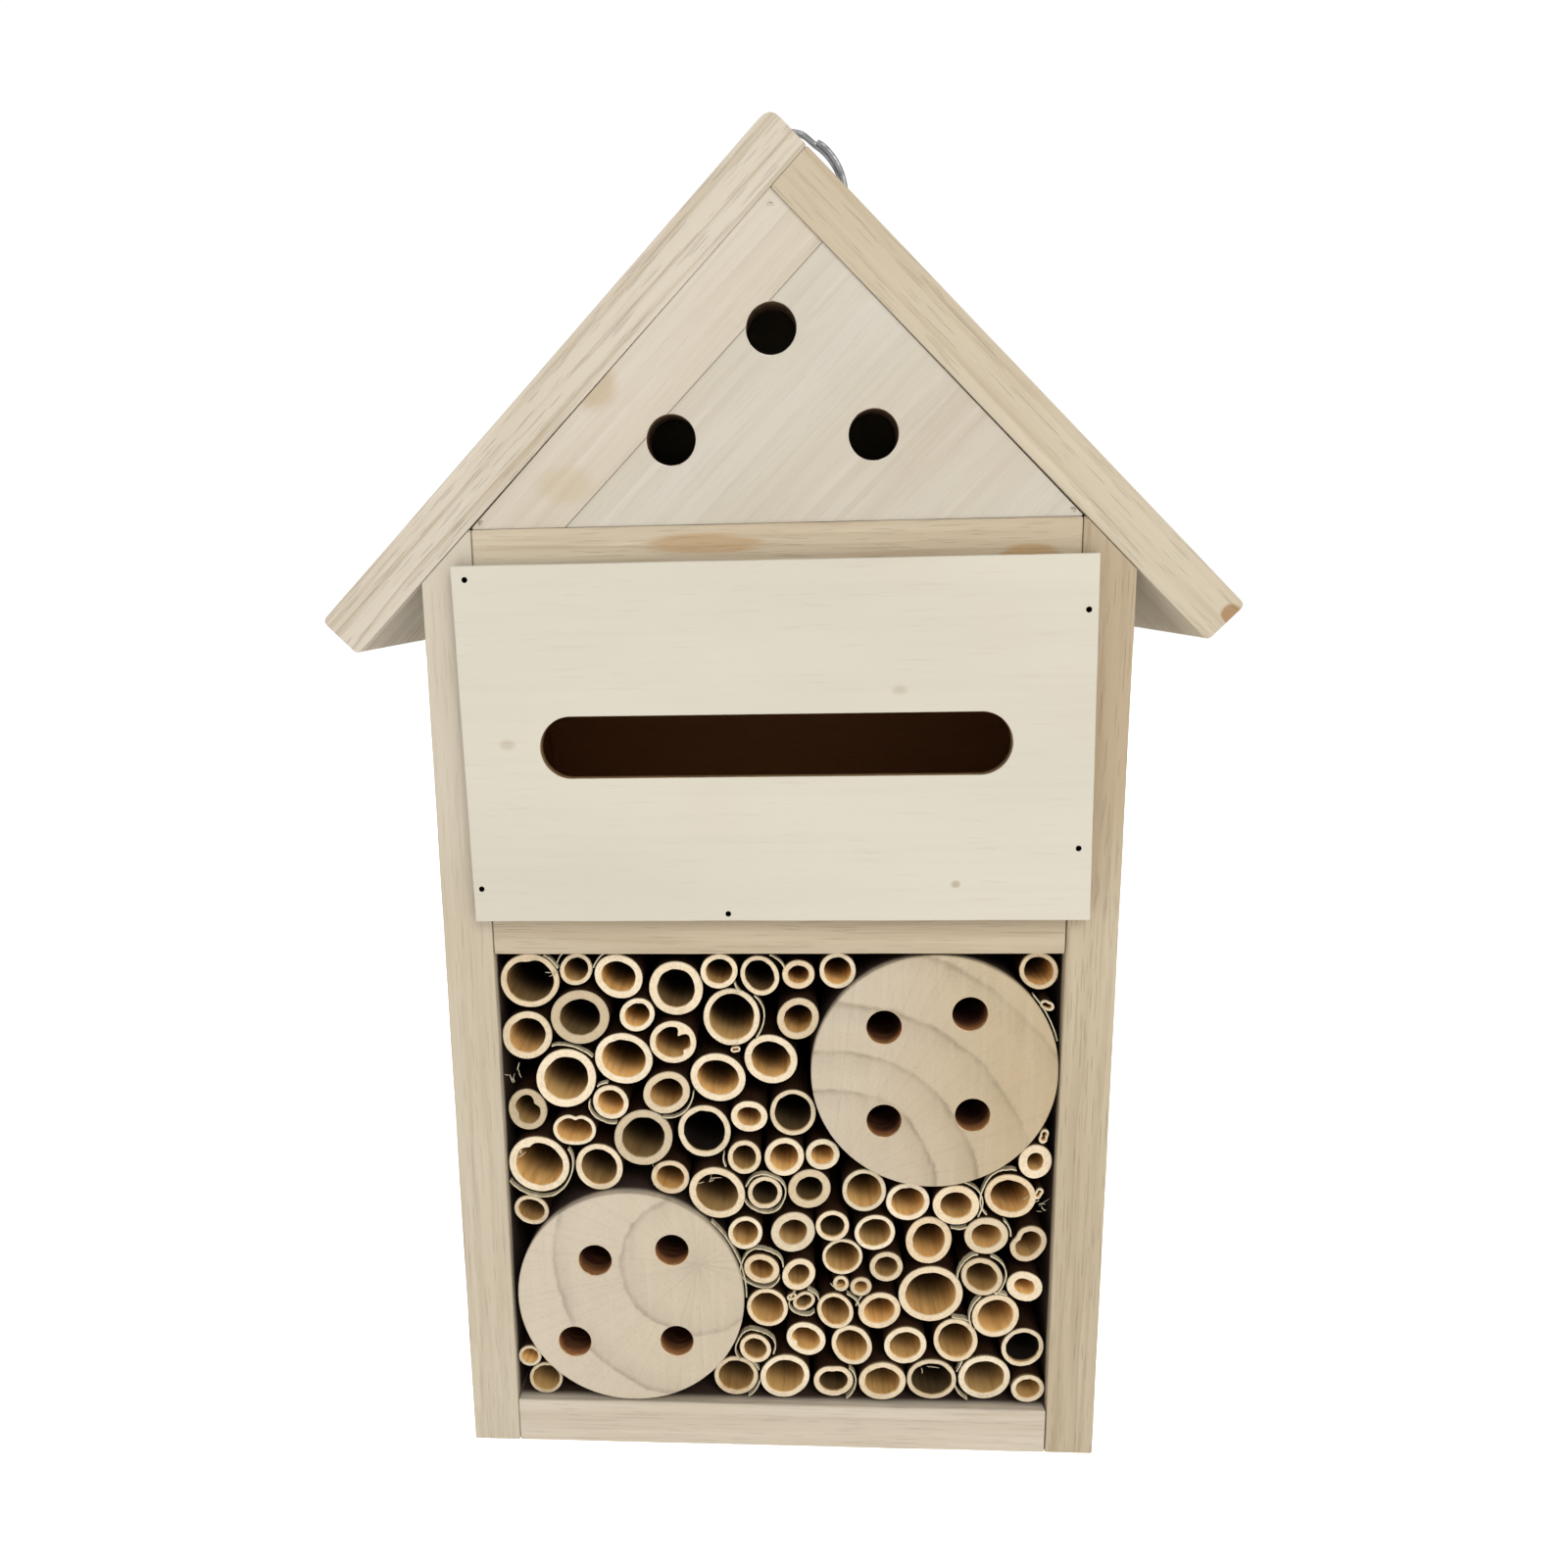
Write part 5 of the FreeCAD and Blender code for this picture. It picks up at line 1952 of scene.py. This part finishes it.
@dataclass
class Hanger:
    """The screw eye behind the ridge and the split ring on it.

    Attributes:
        wire: Radius of the eye's wire.
        coil_width: Width of one turn of the ring, along its axis.
        coil_band: Width of one turn, from inside to outside.
        spread: How much smaller the rear turn is than the front one.
        crossing: Where the turns cross, in degrees up from the right.
        gap: How far from the crossing each end of the ring stops, in degrees.
    """

    wire: float = 1.0 * MM
    coil_width: float = 1.5 * MM
    coil_band: float = 1.25 * MM
    spread: float = 0.45 * MM
    crossing: float = 66.0
    gap: float = 9.0

    def eye(self) -> bpy.types.Object:
        """Bends the eye: an open loop on a threaded stem.

        Returns:
            The piece.
        """
        low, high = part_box("screw_eye")
        loop = (high.z - low.z) / 2 - self.wire
        middle = Vector(((low.x + high.x) / 2, high.y - loop - self.wire, (low.z + high.z) / 2))
        mesh = bmesh.new()
        bend = []
        for step in range(57):
            angle = math.radians(184 + 338 * step / 56)
            bend.append(middle + Vector((0.0, loop * math.cos(angle), loop * math.sin(angle))))
        sweep(mesh, bend, round_section(self.wire, 16, 0.12))
        stem = []
        for step in range(61):
            share = step / 60
            y = low.y + (middle.y - loop - low.y) * share
            thread = 0.12 * MM * max(0.0, 1 - share * 1.6)
            angle = share * 14 * FULL_TURN
            stem.append(Vector((middle.x + thread * math.cos(angle), y, middle.z + thread * math.sin(angle))))
        sweep(mesh, stem, round_section(self.wire * 0.86, 16))
        return new_piece("bent_screw_eye", mesh, 50.0)

    def ring(self) -> bpy.types.Object:
        """Winds the ring: two flat turns that cross once.

        Returns:
            The piece.
        """
        low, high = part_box("split_ring")
        middle = (low + high) / 2
        radius = (high.x - low.x) / 2 - self.coil_band / 2 - 0.05 * MM
        step_out = (high.y - low.y - self.coil_width) / 2 - 0.03 * MM
        turns = 720 - 2 * self.gap
        path = []
        for step in range(241):
            swept = self.gap + turns * step / 240
            cross = max(-1.0, min(1.0, (swept - 360) / self.gap))
            back = math.sin(cross * math.pi / 2)
            here = radius - self.spread * (0.5 + 0.5 * back)
            angle = math.radians(self.crossing - swept)
            path.append(middle + Vector((here * math.cos(angle), step_out * back, here * math.sin(angle))))

        def flat(share: float) -> list[Pair]:
            """Gives the flat wire's section, thinner at its ends.

            Args:
                share: How far along the wire, 0 to 1.

            Returns:
                The section's points.
            """
            worn = 1 - 0.25 * max(0.0, abs(2 * share - 1) - 0.985) / 0.015
            points = []
            for side in range(16):
                angle = FULL_TURN * side / 16
                a = math.copysign(abs(math.cos(angle)) ** 0.6, math.cos(angle))
                b = math.copysign(abs(math.sin(angle)) ** 0.6, math.sin(angle))
                points.append((a, b))
            return [(a * self.coil_band / 2 * worn, b * self.coil_width / 2 * worn) for a, b in points]

        mesh = bmesh.new()
        self.wind(mesh, path, middle, flat)
        return new_piece("wound_split_ring", mesh, 50.0)

    def wind(self, mesh: bmesh.types.BMesh, path: list[Vector], middle: Vector,
             section: Callable[[float], list[Pair]]) -> None:
        """Sweeps a flat section round the ring with its broad side kept along the axis.

        Args:
            mesh: The mesh to add to.
            path: Points along the wire.
            middle: The ring's middle.
            section: The wire's section at a share of the way.
        """
        rings = []
        for index, point in enumerate(path):
            outward = Vector((point.x - middle.x, 0.0, point.z - middle.z)).normalized()
            outline = section(index / (len(path) - 1))
            rings.append([mesh.verts.new(point + outward * a + Vector((0.0, b, 0.0))) for a, b in outline])
        for near, far in zip(rings, rings[1:]):
            for index in range(len(near)):
                mesh.faces.new((near[index - 1], near[index], far[index], far[index - 1]))
        mesh.faces.new(rings[0])
        mesh.faces.new(list(reversed(rings[-1])))

    def build(self) -> list[bpy.types.Object]:
        """Builds and dresses the eye and the ring.

        Returns:
            Both pieces.
        """
        finish = Steel(
            "plated_steel", (0.2, 0.2, 0.203, 1.0), (0.08, 0.08, 0.08, 1.0), 0.4, 0.5, (0.05, 0.05, 0.05, 1.0)
        ).make()
        eye = settled(dressed(self.eye(), finish), "root", "ring_steel", "screw_eye")
        ring = settled(dressed(self.ring(), finish), "ring", "ring_steel", "split_ring")
        return [eye, ring]


@dataclass
class Studio:
    """The pale floor, the soft light and the camera.

    Attributes:
        eye: Where the camera stands.
        pitch: How far it looks up, in degrees.
        yaw: How far it looks right, in degrees.
        roll: How far it leans, in degrees.
        lens: Focal length in millimetres.
        sensor: Width of the sensor in millimetres.
        shift: How far the frame is shifted.
        key_place: Where the key light hangs.
        key_power: Its power in watts.
        key_size: Its width.
        aim: What the key light points at.
        ambient: Strength of the white surroundings.
        floor_glow: How much light the floor gives off itself.
    """

    eye: Triple = (3.14 * MM, -296.6 * MM, 182.8 * MM)
    pitch: float = -12.84
    yaw: float = -4.12
    roll: float = -1.16
    lens: float = 31.109
    sensor: float = 36.0
    shift: Pair = (0.0561, 0.0625)
    key_place: Triple = (0.32, -0.95, 0.85)
    key_power: float = 8.6
    key_size: float = 0.55
    aim: Triple = (0.0, 0.0, 0.13)
    ambient: float = 1.02
    floor_glow: float = 0.95

    def camera(self) -> None:
        """Places the camera."""
        pitch, yaw, roll = (math.radians(angle) for angle in (self.pitch, self.yaw, self.roll))
        ahead = Vector((math.sin(yaw) * math.cos(pitch), math.cos(yaw) * math.cos(pitch), math.sin(pitch)))
        right = Vector((math.cos(yaw), -math.sin(yaw), 0.0))
        up = right.cross(ahead)
        leaned = right * math.cos(roll) + up * math.sin(roll)
        upright = up * math.cos(roll) - right * math.sin(roll)
        data = bpy.data.cameras.new("studio_camera")
        data.lens, data.sensor_width = self.lens, self.sensor
        data.shift_x, data.shift_y = self.shift
        data.clip_start = 0.01
        camera = bpy.data.objects.new("studio_camera", data)
        basis = Matrix((leaned, upright, -ahead)).transposed().to_4x4()
        basis.translation = Vector(self.eye)
        camera.matrix_world = basis
        bpy.context.scene.collection.objects.link(camera)
        bpy.context.scene.camera = camera

    def lights(self) -> None:
        """Hangs the soft key light and whitens the surroundings."""
        data = bpy.data.lights.new("key_light", "AREA")
        data.energy, data.size = self.key_power, self.key_size
        data.color = (1.0, 0.985, 0.96)
        light = bpy.data.objects.new("key_light", data)
        light.location = self.key_place
        beam = Vector(self.aim) - Vector(self.key_place)
        light.rotation_euler = beam.to_track_quat("-Z", "Y").to_euler()
        bpy.context.scene.collection.objects.link(light)
        world = bpy.data.worlds.new("white_studio")
        world.use_nodes = True
        sky = world.node_tree.nodes["Background"]
        sky.inputs["Color"].default_value = (1.0, 1.0, 1.0, 1.0)
        sky.inputs["Strength"].default_value = self.ambient
        bpy.context.scene.world = world

    def floor(self) -> None:
        """Lays the pale floor."""
        mesh = bmesh.new()
        bmesh.ops.create_grid(mesh, x_segments=24, y_segments=24, size=3.0)
        floor = new_piece("studio_floor", mesh)
        floor.location.z = -0.05 * MM
        bench = NodeBench("studio_paper")
        cloud = bench.speckle(bench.place(), (3.0, 3.0, 3.0), 1.0, 3.0)
        patchy = bench.maths("MULTIPLY", cloud, 0.1)
        colour = bench.mixed(patchy, (0.86, 0.86, 0.86, 1.0), (0.83, 0.83, 0.83, 1.0))
        bench.shader.inputs["Emission Color"].default_value = (1.0, 1.0, 1.0, 1.0)
        bench.shader.inputs["Emission Strength"].default_value = self.floor_glow
        dressed(floor, bench.finish(colour, 0.9, cloud, 0.05 * MM))

    def build(self) -> None:
        """Sets the studio up."""
        self.camera()
        self.lights()
        self.floor()
        bpy.context.scene.view_settings.view_transform = "Standard"


def main() -> None:
    """Builds the hotel's sub-assemblies in order and reports each piece."""
    logging.basicConfig(level=logging.INFO, format="%(message)s")
    upper = LogBlock(
        "upper_log_block",
        ((-10.0 * MM, 9.6 * MM), (6.8 * MM, 12.4 * MM), (-9.8 * MM, -10.2 * MM), (7.8 * MM, -8.8 * MM)),
        (-21 * MM, -25.7 * MM), (22.4 * MM, 30.6 * MM, 41 * MM, 54 * MM),
        shown(212, 197, 175), shown(200, 179, 143), 41.0,
    )
    lower = LogBlock(
        "lower_log_block",
        ((-7.2 * MM, 8.6 * MM), (9.0 * MM, 11.2 * MM), (-12.2 * MM, -10.4 * MM), (9.6 * MM, -9.8 * MM)),
        (14.4 * MM, 8.2 * MM), (16 * MM, 31 * MM),
        shown(219, 205, 183), shown(214, 198, 173), 52.0,
    )
    assemblies = (Walls(), Roof(), Gable(), PlySheets(), upper, lower, ReedBay(), Litter(), Brads(), Hanger())
    for assembly in assemblies:
        for piece in assembly.build():
            LOG.info("%s: %s, %d faces", type(assembly).__name__, piece.name, len(piece.data.polygons))
    Studio().build()


if __name__ == "__main__":
    main()
